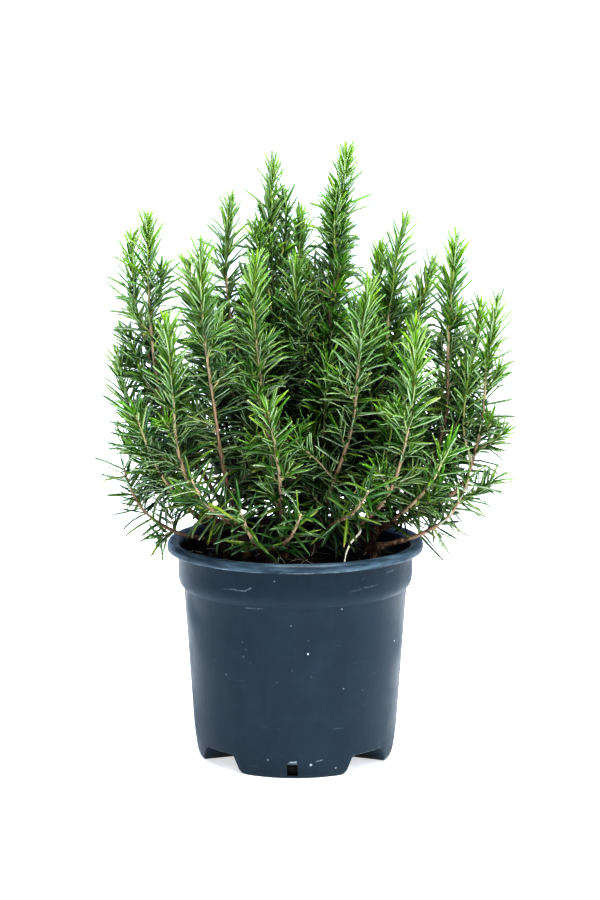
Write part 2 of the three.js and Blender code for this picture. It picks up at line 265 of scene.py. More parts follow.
@dataclass(frozen=True)
class MouldedPlastic:
    """Black polypropylene, injection moulded: a satin blue-black skin that greys where it is handled."""

    body: Hex = "#212E38"
    haze: Hex = "#27353F"
    scuff: Hex = "#62747F"
    # pale dust colour, also used for the painted highlight over the front slot
    dust_and_highlight: Hex = "#C9D2D6"
    # dark brown of the dirt in the arches, also used as painted shade there
    dirt_and_shade: Hex = "#120F0C"
    roughness: float = 0.4
    duller: float = 0.16
    specular: float = 0.2
    haze_size: float = 26.0
    streak_size: float = 7.0
    streak_stretch: Point = (1.0, 1.0, 0.12)
    scratch_size: float = 34.0
    scratch_stretch: Point = (0.3, 0.3, 1.5)
    scratched_size: float = 11.0
    rub_size: float = 3.0
    bared_size: float = 9.0
    bared_share: float = 0.17
    lip_low: float = 156.0
    lip_stretch: float = 14.0
    foot_high: float = 20.0
    splash_size: float = 3.2
    speck_size: float = 17.0
    speck_share: float = 0.35
    grain_size: float = 1.2
    wave_size: float = 9.0
    wave_share: float = 3.0
    score_width: float = 0.7
    score_break: float = 1.8
    scores_and_slot_highlight: tuple[tuple[Point, Point, float], ...] = (
        ((-53.2, -69, 140.7), (-43, -75.9, 141.7), 0.16),
        ((-43, -75.9, 141.2), (-35.8, -79.6, 141.2), 0.24),
        ((-35.8, -79.6, 141.2), (-31.4, -81.4, 144), 0.4),
        ((-36.2, -74.7, 127.9), (-22.5, -79.9, 128.4), 0.2),
        ((39.2, -77.7, 140.2), (50, -71.5, 141.8), 0.1),
        ((50, -71.5, 141.8), (58.8, -64.5, 142.4), 0.14),
        ((66, -57, 149.7), (71, -50.5, 150.3), 0.16),
        ((15.4, -72.6, 13.6), (20.6, -71.3, 14.6), 0.55),
        # pale line on the front slot's top edge: its wear and a painted highlight
        ((-4, -74.4, 13.2), (0.8, -74.5, 13.6), 0.5),
        ((-64.3, -37.2, 14.9), (-59.1, -45.2, 14.9), 0.12),
        ((-59.1, -45.2, 14.9), (-52.7, -52.5, 14.9), 0.18),
        ((-52.7, -52.5, 14.9), (-45.8, -58.7, 14.9), 0.14),
        ((62.3, -40.6, 14.9), (56.5, -48.4, 14.9), 0.24),
        ((56.5, -48.4, 14.9), (49.7, -55.4, 14.9), 0.26),
        ((49.7, -55.4, 14.9), (42.4, -61.2, 14.9), 0.2),
    )
    flecks: tuple[tuple[Point, float, float], ...] = (
        ((-14.8, -86, 149.7), 0.5, 0.35),
        ((-2.9, -82.1, 116.4), 0.6, 0.17),
        ((33.5, -76, 127.3), 0.75, 0.24),
        ((9.2, -80, 95.3), 0.65, 0.75),
        ((11.4, -73.4, 11), 0.95, 0.55),
        ((29.6, -67.6, 7), 0.8, 0.3),
        ((-19.7, -71.7, 14.4), 0.9, 0.18),
        ((-37.8, -71.7, 102.2), 0.8, 0.06),
        ((-35.5, -72.4, 96.7), 0.7, 0.04),
        ((-37.2, -71, 91), 0.8, 0.08),
        ((-49.9, -61.2, 75.4), 0.7, 0.16),
        ((-2, -79.5, 82.8), 0.8, 0.04),
        ((11.5, -78.3, 77.8), 0.7, 0.06),
        ((-13, -77.7, 73.8), 0.8, 0.05),
        ((34.7, -70.2, 67.2), 0.7, 0.24),
        ((9.6, -80.7, 105.2), 0.8, 0.05),
        ((72.4, -34.9, 94), 0.7, 0.5),
    )

    def make(self) -> bpy.types.Material:
        """Writes the material.

        Returns:
            The plastic, with drawing streaks, handling haze, fine scratches and dust.
        """
        recipe = Recipe("moulded_polypropylene")
        height = recipe.add("SeparateXYZ", recipe.place, out="Z")
        upright = recipe.add("Mapping", recipe.place, inputs={"Scale": self.streak_stretch})
        haze = recipe.patches(self.haze_size, 4.0, (0.42, 0.7))
        streaks = recipe.patches(self.streak_size, 3.0, (0.45, 0.75), (0.0, 0.6), upright)
        lip = recipe.add("MapRange", height, self.lip_low * MM, (self.lip_low + 1) * MM)
        round_lip = recipe.round_axis(self.lip_stretch)
        handled = recipe.patches(self.rub_size, 5.0, (0.36, 0.72), (0.06, 0.66), round_lip)
        rubbed = recipe.add("Math", lip, handled, operation="MULTIPLY")
        colour = recipe.painted(
            self.body,
            (recipe.add("Math", haze, streaks, operation="MAXIMUM"), self.haze),
            (self.scratched(recipe), self.scuff),
            (self.scored_and_slot_highlight(recipe), self.dust_and_highlight),
            (rubbed, self.scuff),
            (self.bared(recipe, height, lip), self.dust_and_highlight),
            (self.splashed(recipe, height), self.dust_and_highlight),
            (self.specked(recipe), self.dust_and_highlight),
            # pale wear on the arches' edges; on the sills, wear and a painted highlight
            (recipe.add("Attribute", out="Fac", attribute_name="worn"), self.dust_and_highlight),
            # painted shade inside the arches, mixed with their dirt, darker the farther in
            (recipe.add("Attribute", out="Fac", attribute_name="grime"), self.dirt_and_shade),
        )
        fine = recipe.add("TexNoise", recipe.place, per_metre(self.grain_size), 2.0)
        waves = recipe.add("TexNoise", recipe.place, per_metre(self.wave_size), 2.0)
        high_waves = recipe.add("Math", waves, self.wave_share, operation="MULTIPLY")
        grain = recipe.add("Math", fine, high_waves, operation="ADD")
        bump = recipe.add("Bump", inputs={"Strength": 0.12, "Distance": 0.0004, "Height": grain})
        matt = recipe.add("Math", haze, rubbed, operation="MAXIMUM")
        dull = recipe.add("MapRange", matt, 0.0, 1.0, self.roughness, self.roughness + self.duller)
        look = {
            "Base Color": colour, "Roughness": dull, "Normal": bump, "Specular IOR Level": self.specular,
        }
        return recipe.finish(recipe.add("BsdfPrincipled", inputs=look))

    def scratched(self, recipe: Recipe) -> bpy.types.NodeSocket:
        """Level scratches, in patches. Real ones are too fine to show, so these are drawn coarser.

        Args:
            recipe: The material that gets them.

        Returns:
            Their share, from 0 to 1.
        """
        level = recipe.add("Mapping", recipe.place, inputs={"Scale": self.scratch_stretch})
        waves = recipe.add("TexNoise", level, per_metre(self.scratch_size), 3.0)
        middle = recipe.add("Math", waves, 0.5, operation="SUBTRACT")
        thin = recipe.add("MapRange", recipe.add("Math", middle, operation="ABSOLUTE"), 0.0, 0.0035, 1.0, 0.0)
        few = recipe.patches(self.scratched_size, 2.0, (0.6, 0.68), (0.0, 0.3))
        return recipe.add("Math", thin, few, operation="MULTIPLY")

    def scored_and_slot_highlight(self, recipe: Recipe) -> bpy.types.NodeSocket:
        """Pale broken scratches where the wall was knocked, and a pale line on the front slot's worn top edge
        that is partly a painted highlight.

        Args:
            recipe: The material that gets them.

        Returns:
            Their share, from 0 to 1.
        """
        broken = recipe.patches(self.score_break, 3.0, (0.34, 0.7))
        marks: bpy.types.NodeSocket | float = 0.0
        for first, last, depth in self.scores_and_slot_highlight:
            score = recipe.along(first, last, self.score_width, depth)
            marks = recipe.add("Math", marks, score, operation="MAXIMUM")
        return recipe.add("Math", broken, marks, operation="MULTIPLY")

    def bared(
        self, recipe: Recipe, height: bpy.types.NodeSocket, lip: bpy.types.NodeSocket
    ) -> bpy.types.NodeSocket:
        """The lip's lower edge, rubbed pale here and there.

        Args:
            recipe: The material that gets it.
            height: The height over the floor.
            lip: 1 on the lip and 0 below it.

        Returns:
            Its share, from 0 to 1.
        """
        low, high = (self.lip_low + 2.2) * MM, (self.lip_low + 1.2) * MM
        under = recipe.add("MapRange", height, low, high)
        edge = recipe.add("Math", lip, under, operation="MULTIPLY")
        broken = recipe.patches(self.bared_size, 4.0, (0.46, 0.66))
        rubbed = recipe.add("Math", edge, broken, operation="MULTIPLY")
        return recipe.add("Math", rubbed, self.bared_share, operation="MULTIPLY")

    def splashed(self, recipe: Recipe, height: bpy.types.NodeSocket) -> bpy.types.NodeSocket:
        """Dried splashes on the feet, fewer the higher up.

        Args:
            recipe: The material that gets them.
            height: The height over the floor.

        Returns:
            Their share, from 0 to 1.
        """
        foot = recipe.add("MapRange", height, 0.0, self.foot_high * MM, 1.0, 0.0)
        splash = recipe.patches(self.splash_size, 4.0, (0.72, 0.78), (0.0, 0.7))
        return recipe.add("Math", foot, splash, operation="MULTIPLY")

    def specked(self, recipe: Recipe) -> bpy.types.NodeSocket:
        """Specks of dust: small ones anywhere, and the larger ones in their places.

        Args:
            recipe: The material that gets them.

        Returns:
            Their share, from 0 to 1.
        """
        cells = add_node(recipe.tree, "TexVoronoi", recipe.place, per_metre(self.speck_size)).outputs
        chance = recipe.add("SeparateColor", cells["Color"])
        reach = recipe.add("MapRange", chance, 0.6, 1.0, 0.0, 0.032)
        dots = recipe.add("Math", cells["Distance"], reach, operation="LESS_THAN")
        specks = recipe.add("Math", dots, self.speck_share, operation="MULTIPLY")
        for place, radius, share in self.flecks:
            fleck = recipe.near(place, radius * 1.3, radius * 0.7, share)
            specks = recipe.add("Math", specks, fleck, operation="MAXIMUM")
        return specks


@dataclass(frozen=True)
class Peat:
    """Moist black peat with bark fibre: almost black in its hollows, brown where it dries out."""

    wet: Hex = "#0B0806"
    crumb: Hex = "#1C130D"
    fibre: Hex = "#3A2A1E"
    crumb_size: float = 3.0
    fibre_size: float = 1.6
    fibre_stretch: Point = (1.0, 0.25, 1.0)
    roughness: float = 0.9

    def make(self) -> bpy.types.Material:
        """Writes the material.

        Returns:
            The peat, mottled by crumbs and fibres, and rough.
        """
        recipe = Recipe("moist_peat")
        crumbs = recipe.patches(self.crumb_size, 5.0, (0.4, 0.72))
        lay = recipe.add("Mapping", recipe.place, inputs={"Scale": self.fibre_stretch})
        fibres = recipe.patches(self.fibre_size, 4.0, (0.62, 0.74), (0.0, 0.7), lay)
        colour = recipe.painted(self.wet, (crumbs, self.crumb), (fibres, self.fibre))
        height = recipe.add("Math", crumbs, fibres, operation="ADD")
        bump = recipe.add("Bump", inputs={"Strength": 0.6, "Distance": 0.0012, "Height": height})
        look = {"Base Color": colour, "Roughness": self.roughness, "Normal": bump}
        return recipe.finish(recipe.add("BsdfPrincipled", inputs=look))


@dataclass(frozen=True)
class Fibre:
    """Dry root and bark fibre: dull tan to brown, each strand in its own shade."""

    pale: Hex = "#F0EAD6"
    dark: Hex = "#4A2F20"
    patch_size: float = 1.5
    tint_share: float = 0.75
    roughness: float = 0.75

    def make(self) -> bpy.types.Material:
        """Writes the material.

        Returns:
            The fibre, which reads each strand's tint.
        """
        recipe = Recipe("dry_root_fibre")
        tint = recipe.add("Attribute", out="Fac", attribute_name="tint")
        patch = recipe.patches(self.patch_size, 3.0, (0.3, 0.7), (0.0, 0.35))
        own = recipe.add("Math", tint, self.tint_share, operation="MULTIPLY")
        shade = recipe.add("Math", own, patch, operation="ADD")
        look = {"Base Color": recipe.painted(self.dark, (shade, self.pale)), "Roughness": self.roughness}
        return recipe.finish(recipe.add("BsdfPrincipled", inputs=look))


@dataclass(frozen=True)
class RosemaryBark:
    """Young rosemary bark: orange-brown, painted darker for the shade inside the plant, split lengthways,
    with grey flakes and dark seams.
    """

    # bark colours darkened as painted shade of the plant's inside
    bark: Hex = "#66503F"
    flake: Hex = "#9C8873"
    seam: Hex = "#271B14"
    split_size: float = 1.4
    split_stretch: Point = (1.0, 1.0, 0.2)
    roughness: float = 0.8

    def make(self) -> bpy.types.Material:
        """Writes the material.

        Returns:
            The bark, with its splits drawn out along the upright stems.
        """
        recipe = Recipe("rosemary_bark")
        along = recipe.add("Mapping", recipe.place, inputs={"Scale": self.split_stretch})
        splits = recipe.add("TexNoise", along, per_metre(self.split_size), 4.0)
        flakes = recipe.add("MapRange", splits, 0.5, 0.72)
        seams = recipe.add("MapRange", splits, 0.44, 0.32)
        colour = recipe.painted(self.bark, (flakes, self.flake), (seams, self.seam))
        bump = recipe.add("Bump", inputs={"Strength": 0.5, "Distance": 0.0004, "Height": splits})
        look = {"Base Color": colour, "Roughness": self.roughness, "Normal": bump}
        return recipe.finish(recipe.add("BsdfPrincipled", inputs=look))


@dataclass(frozen=True)
class StemSkin:
    """The skin of a leafy stem: soft green at the tip, tan where it hardens, brown bark at its foot."""

    stops: tuple[tuple[float, Hex], ...] = (
        (0.0, "#7FA63F"),
        (0.16, "#A2A56C"),
        (0.34, "#B3A68B"),
        (0.6, "#98836F"),
        (1.0, "#6D5648"),
    )
    scar: Hex = "#5B4030"
    scar_size: float = 1.8
    scar_stretch: Point = (1.0, 1.0, 0.35)
    roughness: float = 0.62

    def make(self) -> bpy.types.Material:
        """Writes the material.

        Returns:
            The skin, which reads how old the stem is at each point.
        """
        recipe = Recipe("rosemary_stem_skin")
        age = recipe.add("Attribute", out="Fac", attribute_name="age")
        grown = recipe.add("ValToRGB", age, stops=self.stops)
        along = recipe.add("Mapping", recipe.place, inputs={"Scale": self.scar_stretch})
        mottle = recipe.add("TexNoise", along, per_metre(self.scar_size), 4.0)
        marked = recipe.add("MapRange", mottle, 0.55, 0.7, 0.0, 0.7)
        scars = recipe.add("Math", marked, age, operation="MULTIPLY")
        bump = recipe.add("Bump", inputs={"Strength": 0.35, "Distance": 0.0003, "Height": mottle})
        look = {
            "Base Color": recipe.painted(grown, (scars, self.scar)),
            "Roughness": self.roughness,
            "Normal": bump,
        }
        return recipe.finish(recipe.add("BsdfPrincipled", inputs=look))


@dataclass(frozen=True)
class NeedleLeaf:
    """Rosemary needles: waxy green above and darker with age, the darkest partly painted shade deep in the
    bush, with light through the young ones, and pale felt beneath.
    """

    # colour by age, young bright green to old dark green; the near-black end is partly painted shade inside
    # the plant
    stops: tuple[tuple[float, Hex], ...] = (
        (0.0, "#7FAB2C"),
        (0.16, "#55881B"),
        (0.45, "#284E0F"),
        (1.0, "#102308"),
    )
    warm: Hex = "#8FA234"
    cool: Hex = "#2F5C32"
    felt: Hex = "#BAC7AE"
    heel: Hex = "#A6B76C"
    dry: Hex = "#9B7B43"
    glow: Hex = "#A4D243"
    roughness: float = 0.29
    felt_roughness: float = 0.75
    specular: float = 0.7
    let_through: float = 0.18
    mottle_size: float = 1.3

    def make(self) -> bpy.types.Material:
        """Writes the material, which reads the age, tint, side and length marks of each needle.

        Returns:
            The leaf, a waxy surface mixed with some light from behind.
        """
        recipe = Recipe("rosemary_needle")
        age, tint, under, along = (
            recipe.add("Attribute", out="Fac", attribute_name=name)
            for name in ("age", "tint", "under", "along")
        )
        # darker with age, which also paints the shade deep in the plant
        grown = recipe.add("ValToRGB", age, stops=self.stops)
        warmth = recipe.add("MapRange", tint, 0.55, 1.0, 0.0, 0.5)
        coolness = recipe.add("MapRange", tint, 0.45, 0.0, 0.0, 0.4)
        varied = recipe.painted(grown, (warmth, self.warm), (coolness, self.cool))
        mottle = recipe.patches(self.mottle_size, 2.0, (0.3, 0.7), (0.86, 1.12))
        uneven = recipe.add("HueSaturation", inputs={"Color": varied, "Value": mottle})
        heel = recipe.add("MapRange", along, 0.16, 0.0, 0.0, 0.7)
        tip = recipe.add("MapRange", along, 0.84, 1.0)
        old = recipe.add("MapRange", tint, 0.93, 0.99)
        spent = recipe.add("Math", tip, old, operation="MULTIPLY")
        woolly = recipe.add("MapRange", under, 0.45, 0.95, 0.0, 0.85)
        colour = recipe.painted(uneven, (heel, self.heel), (spent, self.dry), (woolly, self.felt))
        dull = recipe.add("MapRange", under, 0.0, 1.0, self.roughness, self.felt_roughness)
        look = {"Base Color": colour, "Roughness": dull, "Specular IOR Level": self.specular}
        skin = recipe.add("BsdfPrincipled", inputs=look)
        through = recipe.add("BsdfTranslucent", recipe.painted(colour, (0.5, self.glow)))
        share = recipe.add("MapRange", age, 0.0, 0.6, self.let_through, 0.05)
        return recipe.finish(recipe.add("MixShader", share, skin, through))


@dataclass(frozen=True)
class StudioPaper:
    """White backdrop paper, matt, which goes to pure white under the lamps."""

    colour: Hex = "#F4F6F8"
    tooth: Hex = "#DDE2E6"
    tooth_size: float = 2.0
    roughness: float = 0.95
    glow: float = 0.4

    def make(self) -> bpy.types.Material:
        """Writes the material.

        Returns:
            The paper, with a faint tooth to it.
        """
        recipe = Recipe("studio_paper")
        tooth = recipe.patches(self.tooth_size, 2.0, (0.0, 1.0), (0.0, 0.04))
        look = {
            "Base Color": recipe.painted(self.colour, (tooth, self.tooth)),
            "Roughness": self.roughness,
            "Specular IOR Level": 0.0,
            "Emission Color": "#FFFFFF",
            "Emission Strength": self.glow,
        }
        return recipe.finish(recipe.add("BsdfPrincipled", inputs=look))


class Finish(Enum):
    """The finishes of the object, each made once."""

    POT = MouldedPlastic()
    SOIL = Peat()
    ROOT = Fibre()
    BARK = RosemaryBark()
    STEM = StemSkin()
    NEEDLE = NeedleLeaf()
    PAPER = StudioPaper()

    def material(self) -> bpy.types.Material:
        """Makes the finish's material when it is first asked for.

        Returns:
            The material.
        """
        made = _materials.get(self.name)
        if made is None:
            made = _materials[self.name] = self.value.make()
        return made


_materials: dict[str, bpy.types.Material] = {}


class Slot(Enum):
    """The record's material slots."""

    PLASTIC = "pot_plastic"
    SOIL = "potting_soil"
    WOOD = "woody_stem"
    FOLIAGE = "foliage"


def shown_piece(
    mesh: bpy.types.Mesh, name: str, finishes: Sequence[Finish], slot: Slot, *nodes: str
) -> bpy.types.Object:
    """Shows a mesh as a piece that rides on the object's one body.

    Args:
        mesh: The piece's mesh, in place.
        name: The piece's name.
        finishes: Its finishes, in the order of its faces' material numbers.
        slot: The record's slot; not used.
        nodes: The CAD nodes that it stands for.

    Returns:
        The piece's object.
    """
    for finish in finishes:
        mesh.materials.append(finish.material())
    mesh.name = name
    piece = bpy.data.objects.new(name, mesh)
    bpy.context.scene.collection.objects.link(piece)
    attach(piece, BODY)
    if nodes:
        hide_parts(*nodes)
    triangles = sum(len(face.vertices) - 2 for face in mesh.polygons)
    log.info("%s: %d triangles", name, triangles)
    return piece


def mesh_of(shape: bmesh.types.BMesh, name: str, smooth: bool = True) -> bpy.types.Mesh:
    """Hands a bmesh over as a mesh and frees it.

    Args:
        shape: The bmesh.
        name: The mesh's name.
        smooth: Whether its faces are shaded smooth.

    Returns:
        The mesh.
    """
    for face in shape.faces:
        face.smooth = smooth
    mesh = bpy.data.meshes.new(name)
    shape.to_mesh(mesh)
    shape.free()
    return mesh


def with_modifiers(mesh: bpy.types.Mesh, *modifiers: tuple[str, dict[str, object]]) -> bpy.types.Mesh:
    """Runs modifiers on a mesh and keeps their result.

    Args:
        mesh: The mesh to start from.
        modifiers: Each modifier's type and settings.

    Returns:
        A new mesh with the modifiers applied.
    """
    carrier = bpy.data.objects.new("carrier", mesh)
    bpy.context.scene.collection.objects.link(carrier)
    for kind, settings in modifiers:
        modifier = carrier.modifiers.new(kind.lower(), kind)
        for name, value in settings.items():
            setattr(modifier, name, value)
    graph = bpy.context.evaluated_depsgraph_get()
    result = bpy.data.meshes.new_from_object(carrier.evaluated_get(graph), depsgraph=graph)
    bpy.data.objects.remove(carrier)
    return result


def without(mesh: bpy.types.Mesh, cutters: Sequence[bpy.types.Mesh]) -> bpy.types.Mesh:
    """Cuts closed meshes out of a closed mesh.

    Args:
        mesh: The mesh that is cut.
        cutters: What is taken out of it.

    Returns:
        The mesh that is left.
    """
    for cutter in cutters:
        tool = bpy.data.objects.new("cutter", cutter)
        bpy.context.scene.collection.objects.link(tool)
        settings = {"operation": "DIFFERENCE", "solver": "EXACT", "object": tool}
        mesh = with_modifiers(mesh, ("BOOLEAN", settings))
        bpy.data.objects.remove(tool)
    return in_order(mesh)


def in_order(mesh: bpy.types.Mesh) -> bpy.types.Mesh:
    """Puts a mesh's points, edges and faces in an order that is the same each run, which a cut's isn't.

    Args:
        mesh: The mesh.

    Returns:
        A new mesh of the same form.
    """
    shape = bmesh.new()
    shape.from_mesh(mesh)
    for index, vertex in enumerate(sorted(shape.verts, key=lambda vertex: tuple(vertex.co))):
        vertex.index = index
    shape.verts.sort()
    for parts in (shape.edges, shape.faces):
        for index, part in enumerate(sorted(parts, key=lambda part: sorted(v.index for v in part.verts))):
            part.index = index
        parts.sort()
    return mesh_of(shape, mesh.name)


def turned(profile: Sequence[tuple[float, float]], sides: int) -> bmesh.types.BMesh:
    """Turns an outline round the upright axis into a closed solid.

    Args:
        profile: Radius and height of each point, from axis to axis.
        sides: How many steps the turn has.

    Returns:
        The solid.
    """
    shape = bmesh.new()
    points = [shape.verts.new((radius * MM, 0, height * MM)) for radius, height in profile]
    edges = [shape.edges.new(pair) for pair in zip(points, points[1:])]
    bmesh.ops.spin(
        shape, geom=points + edges, axis=(0, 0, 1), cent=(0, 0, 0),
        angle=math.tau, steps=sides, use_merge=True,
    )
    bmesh.ops.remove_doubles(shape, verts=shape.verts, dist=0.01 * MM)
    bmesh.ops.recalc_face_normals(shape, faces=shape.faces)
    return shape


def arc(
    centre: tuple[float, float], radius: float, start: float, end: float, steps: int
) -> list[tuple[float, float]]:
    """Points of a circle's arc in an outline, from one angle to another in degrees."""
    angles = (math.radians(start + (end - start) * step / steps) for step in range(steps + 1))
    return [(centre[0] + radius * math.cos(a), centre[1] + radius * math.sin(a)) for a in angles]


def tube(stations: Sequence[tuple[Vector, float]], sides: int) -> bpy.types.Mesh:
    """Draws a round section out along a line.

    Args:
        stations: The centre and radius of each ring, in metres.
        sides: How many sides the section has.

    Returns:
        A closed mesh, whose points run ring by ring.
    """
    centres = [centre for centre, _ in stations]
    aims = [(after - before).normalized() for before, after in zip(centres, centres[1:])]
    aims = [aims[0], *((a + b).normalized() for a, b in zip(aims, aims[1:])), aims[-1]]
    normal = aims[0].orthogonal().normalized()
    shape = bmesh.new()
    ring = bmesh.ops.create_circle(shape, cap_ends=True, segments=sides, radius=1.0)["verts"]
    edges = list(shape.edges)
    placed = Matrix.Identity(4)
    for index, ((centre, radius), aim) in enumerate(zip(stations, aims)):
        if index:
            ring, edges = drawn_out(shape, edges)
        normal = (normal - aim * normal.dot(aim)).normalized()
        turn = Matrix((normal, aim.cross(normal), aim)).transposed().to_4x4()
        place = Matrix.Translation(centre) @ turn @ Matrix.Diagonal((radius, radius, radius, 1))
        bmesh.ops.transform(shape, matrix=place @ placed.inverted(), verts=ring)
        placed = place
    bmesh.ops.contextual_create(shape, geom=edges)
    bmesh.ops.recalc_face_normals(shape, faces=shape.faces)
    return mesh_of(shape, "tube")


def drawn_out(
    shape: bmesh.types.BMesh, edges: Sequence[bmesh.types.BMEdge]
) -> tuple[list[bmesh.types.BMVert], list[bmesh.types.BMEdge]]:
    """Extrudes a ring of edges. The new ring is still in the old one's place.

    Args:
        shape: What the ring is in.
        edges: The ring's edges.

    Returns:
        The new ring's points and edges.
    """
    grown = bmesh.ops.extrude_edge_only(shape, edges=edges)["geom"]
    ring = [part for part in grown if isinstance(part, bmesh.types.BMVert)]
    fresh = set(ring)
    return ring, [
        part for part in grown if isinstance(part, bmesh.types.BMEdge) and fresh.issuperset(part.verts)
    ]


class StemPath:
    """A smooth line through points, the same as the CAD's, measured along its length."""

    STEPS = 20

    def __init__(self, points: Sequence[Vector]) -> None:
        """Runs the line.

        Args:
            points: What it passes through, in metres.
        """
        ends = [2 * points[0] - points[1], *points, 2 * points[-1] - points[-2]]
        self.points = [points[0].copy()]
        for four in zip(ends, ends[1:], ends[2:], ends[3:]):
            self.points += [self._between(four, step / self.STEPS) for step in range(1, self.STEPS + 1)]
        self.reach = [0.0]
        for before, after in zip(self.points, self.points[1:]):
            self.reach.append(self.reach[-1] + (after - before).length)
        self.length = self.reach[-1]
        self.normals: list[Vector] = []
        normal = (self.points[1] - self.points[0]).orthogonal()
        for before, after in zip(self.points, self.points[1:]):
            aim = (after - before).normalized()
            normal = (normal - aim * normal.dot(aim)).normalized()
            self.normals.append(normal)

    @staticmethod
    def _between(four: tuple[Vector, ...], share: float) -> Vector:
        """A centripetal spline's point between the middle two of four points.

        Args:
            four: The points.
            share: How far the point is from the second to the third.

        Returns:
            The point.
        """
        before, start, end, after = four
        gaps = [math.sqrt((b - a).length) for a, b in zip(four, four[1:])]
        first = (start - before) / gaps[0] - (end - before) / (gaps[0] + gaps[1]) + (end - start) / gaps[1]
        last = (end - start) / gaps[1] - (after - start) / (gaps[1] + gaps[2]) + (after - end) / gaps[2]
        first, last = first * gaps[1], last * gaps[1]
        cubic = 2 * start - 2 * end + first + last
        square = -3 * start + 3 * end - 2 * first - last
        return start + share * (first + share * (square + share * cubic))

    def frame(self, distance: float) -> tuple[Vector, Vector, Vector]:
        """Where a stem is and how it runs at a distance along it.

        Args:
            distance: The distance, in metres.

        Returns:
            The point, the direction there and a direction out of the stem.
        """
        distance = min(max(distance, 0.0), self.length)
        index = next((i for i, reach in enumerate(self.reach[1:]) if reach >= distance), len(self.reach) - 2)
        before, after = self.points[index], self.points[index + 1]
        span = self.reach[index + 1] - self.reach[index]
        point = before.lerp(after, (distance - self.reach[index]) / span)
        return point, (after - before).normalized(), self.normals[index]

    def tapered(
        self, reach: float, steps: int, radius: float, foot: float, fall: float
    ) -> list[tuple[Vector, float]]:
        """Stations for a tube along the line, which gets thinner.

        Args:
            reach: How far along the line it goes, in metres.
            steps: How many steps it has.
            radius: The radius that the shares are of.
            foot: Its share at the start.
            fall: How much less its share is at the end.

        Returns:
            Each station's centre and radius, in metres.
        """
        return [
            (self.frame(reach * step / steps)[0], radius * MM * (foot - fall * step / steps))
            for step in range(steps + 1)
        ]


class Gathering:
    """Many small closed shapes in one mesh, with marks at each of its points."""

    def __init__(self, *marks: str) -> None:
        """Starts empty.

        Args:
            marks: The names of the marks that its materials read.
        """
        self.shape = bmesh.new()
        self.values: dict[str, list[float]] = {mark: [] for mark in marks}

    def add(self, mesh: bpy.types.Mesh, **values: float | Sequence[float]) -> None:
        """Adds a shape.

        Args:
            mesh: The shape, in place.
            values: For each mark, one number or one for each point.
        """
        self.shape.from_mesh(mesh)
        count = len(mesh.vertices)
        for mark, column in self.values.items():
            value = values.get(mark, 0.0)
            column.extend([value] * count if isinstance(value, (int, float)) else value)

    def mesh(self, name: str) -> bpy.types.Mesh:
        """Closes the gathering.

        Args:
            name: The mesh's name.

        Returns:
            One mesh with every shape and its marks.
        """
        mesh = bpy.data.meshes.new(name)
        self.shape.to_mesh(mesh)
        self.shape.free()
        for mark, column in self.values.items():
            mesh.attributes.new(mark, "FLOAT", "POINT").data.foreach_set("value", column)
        return mesh


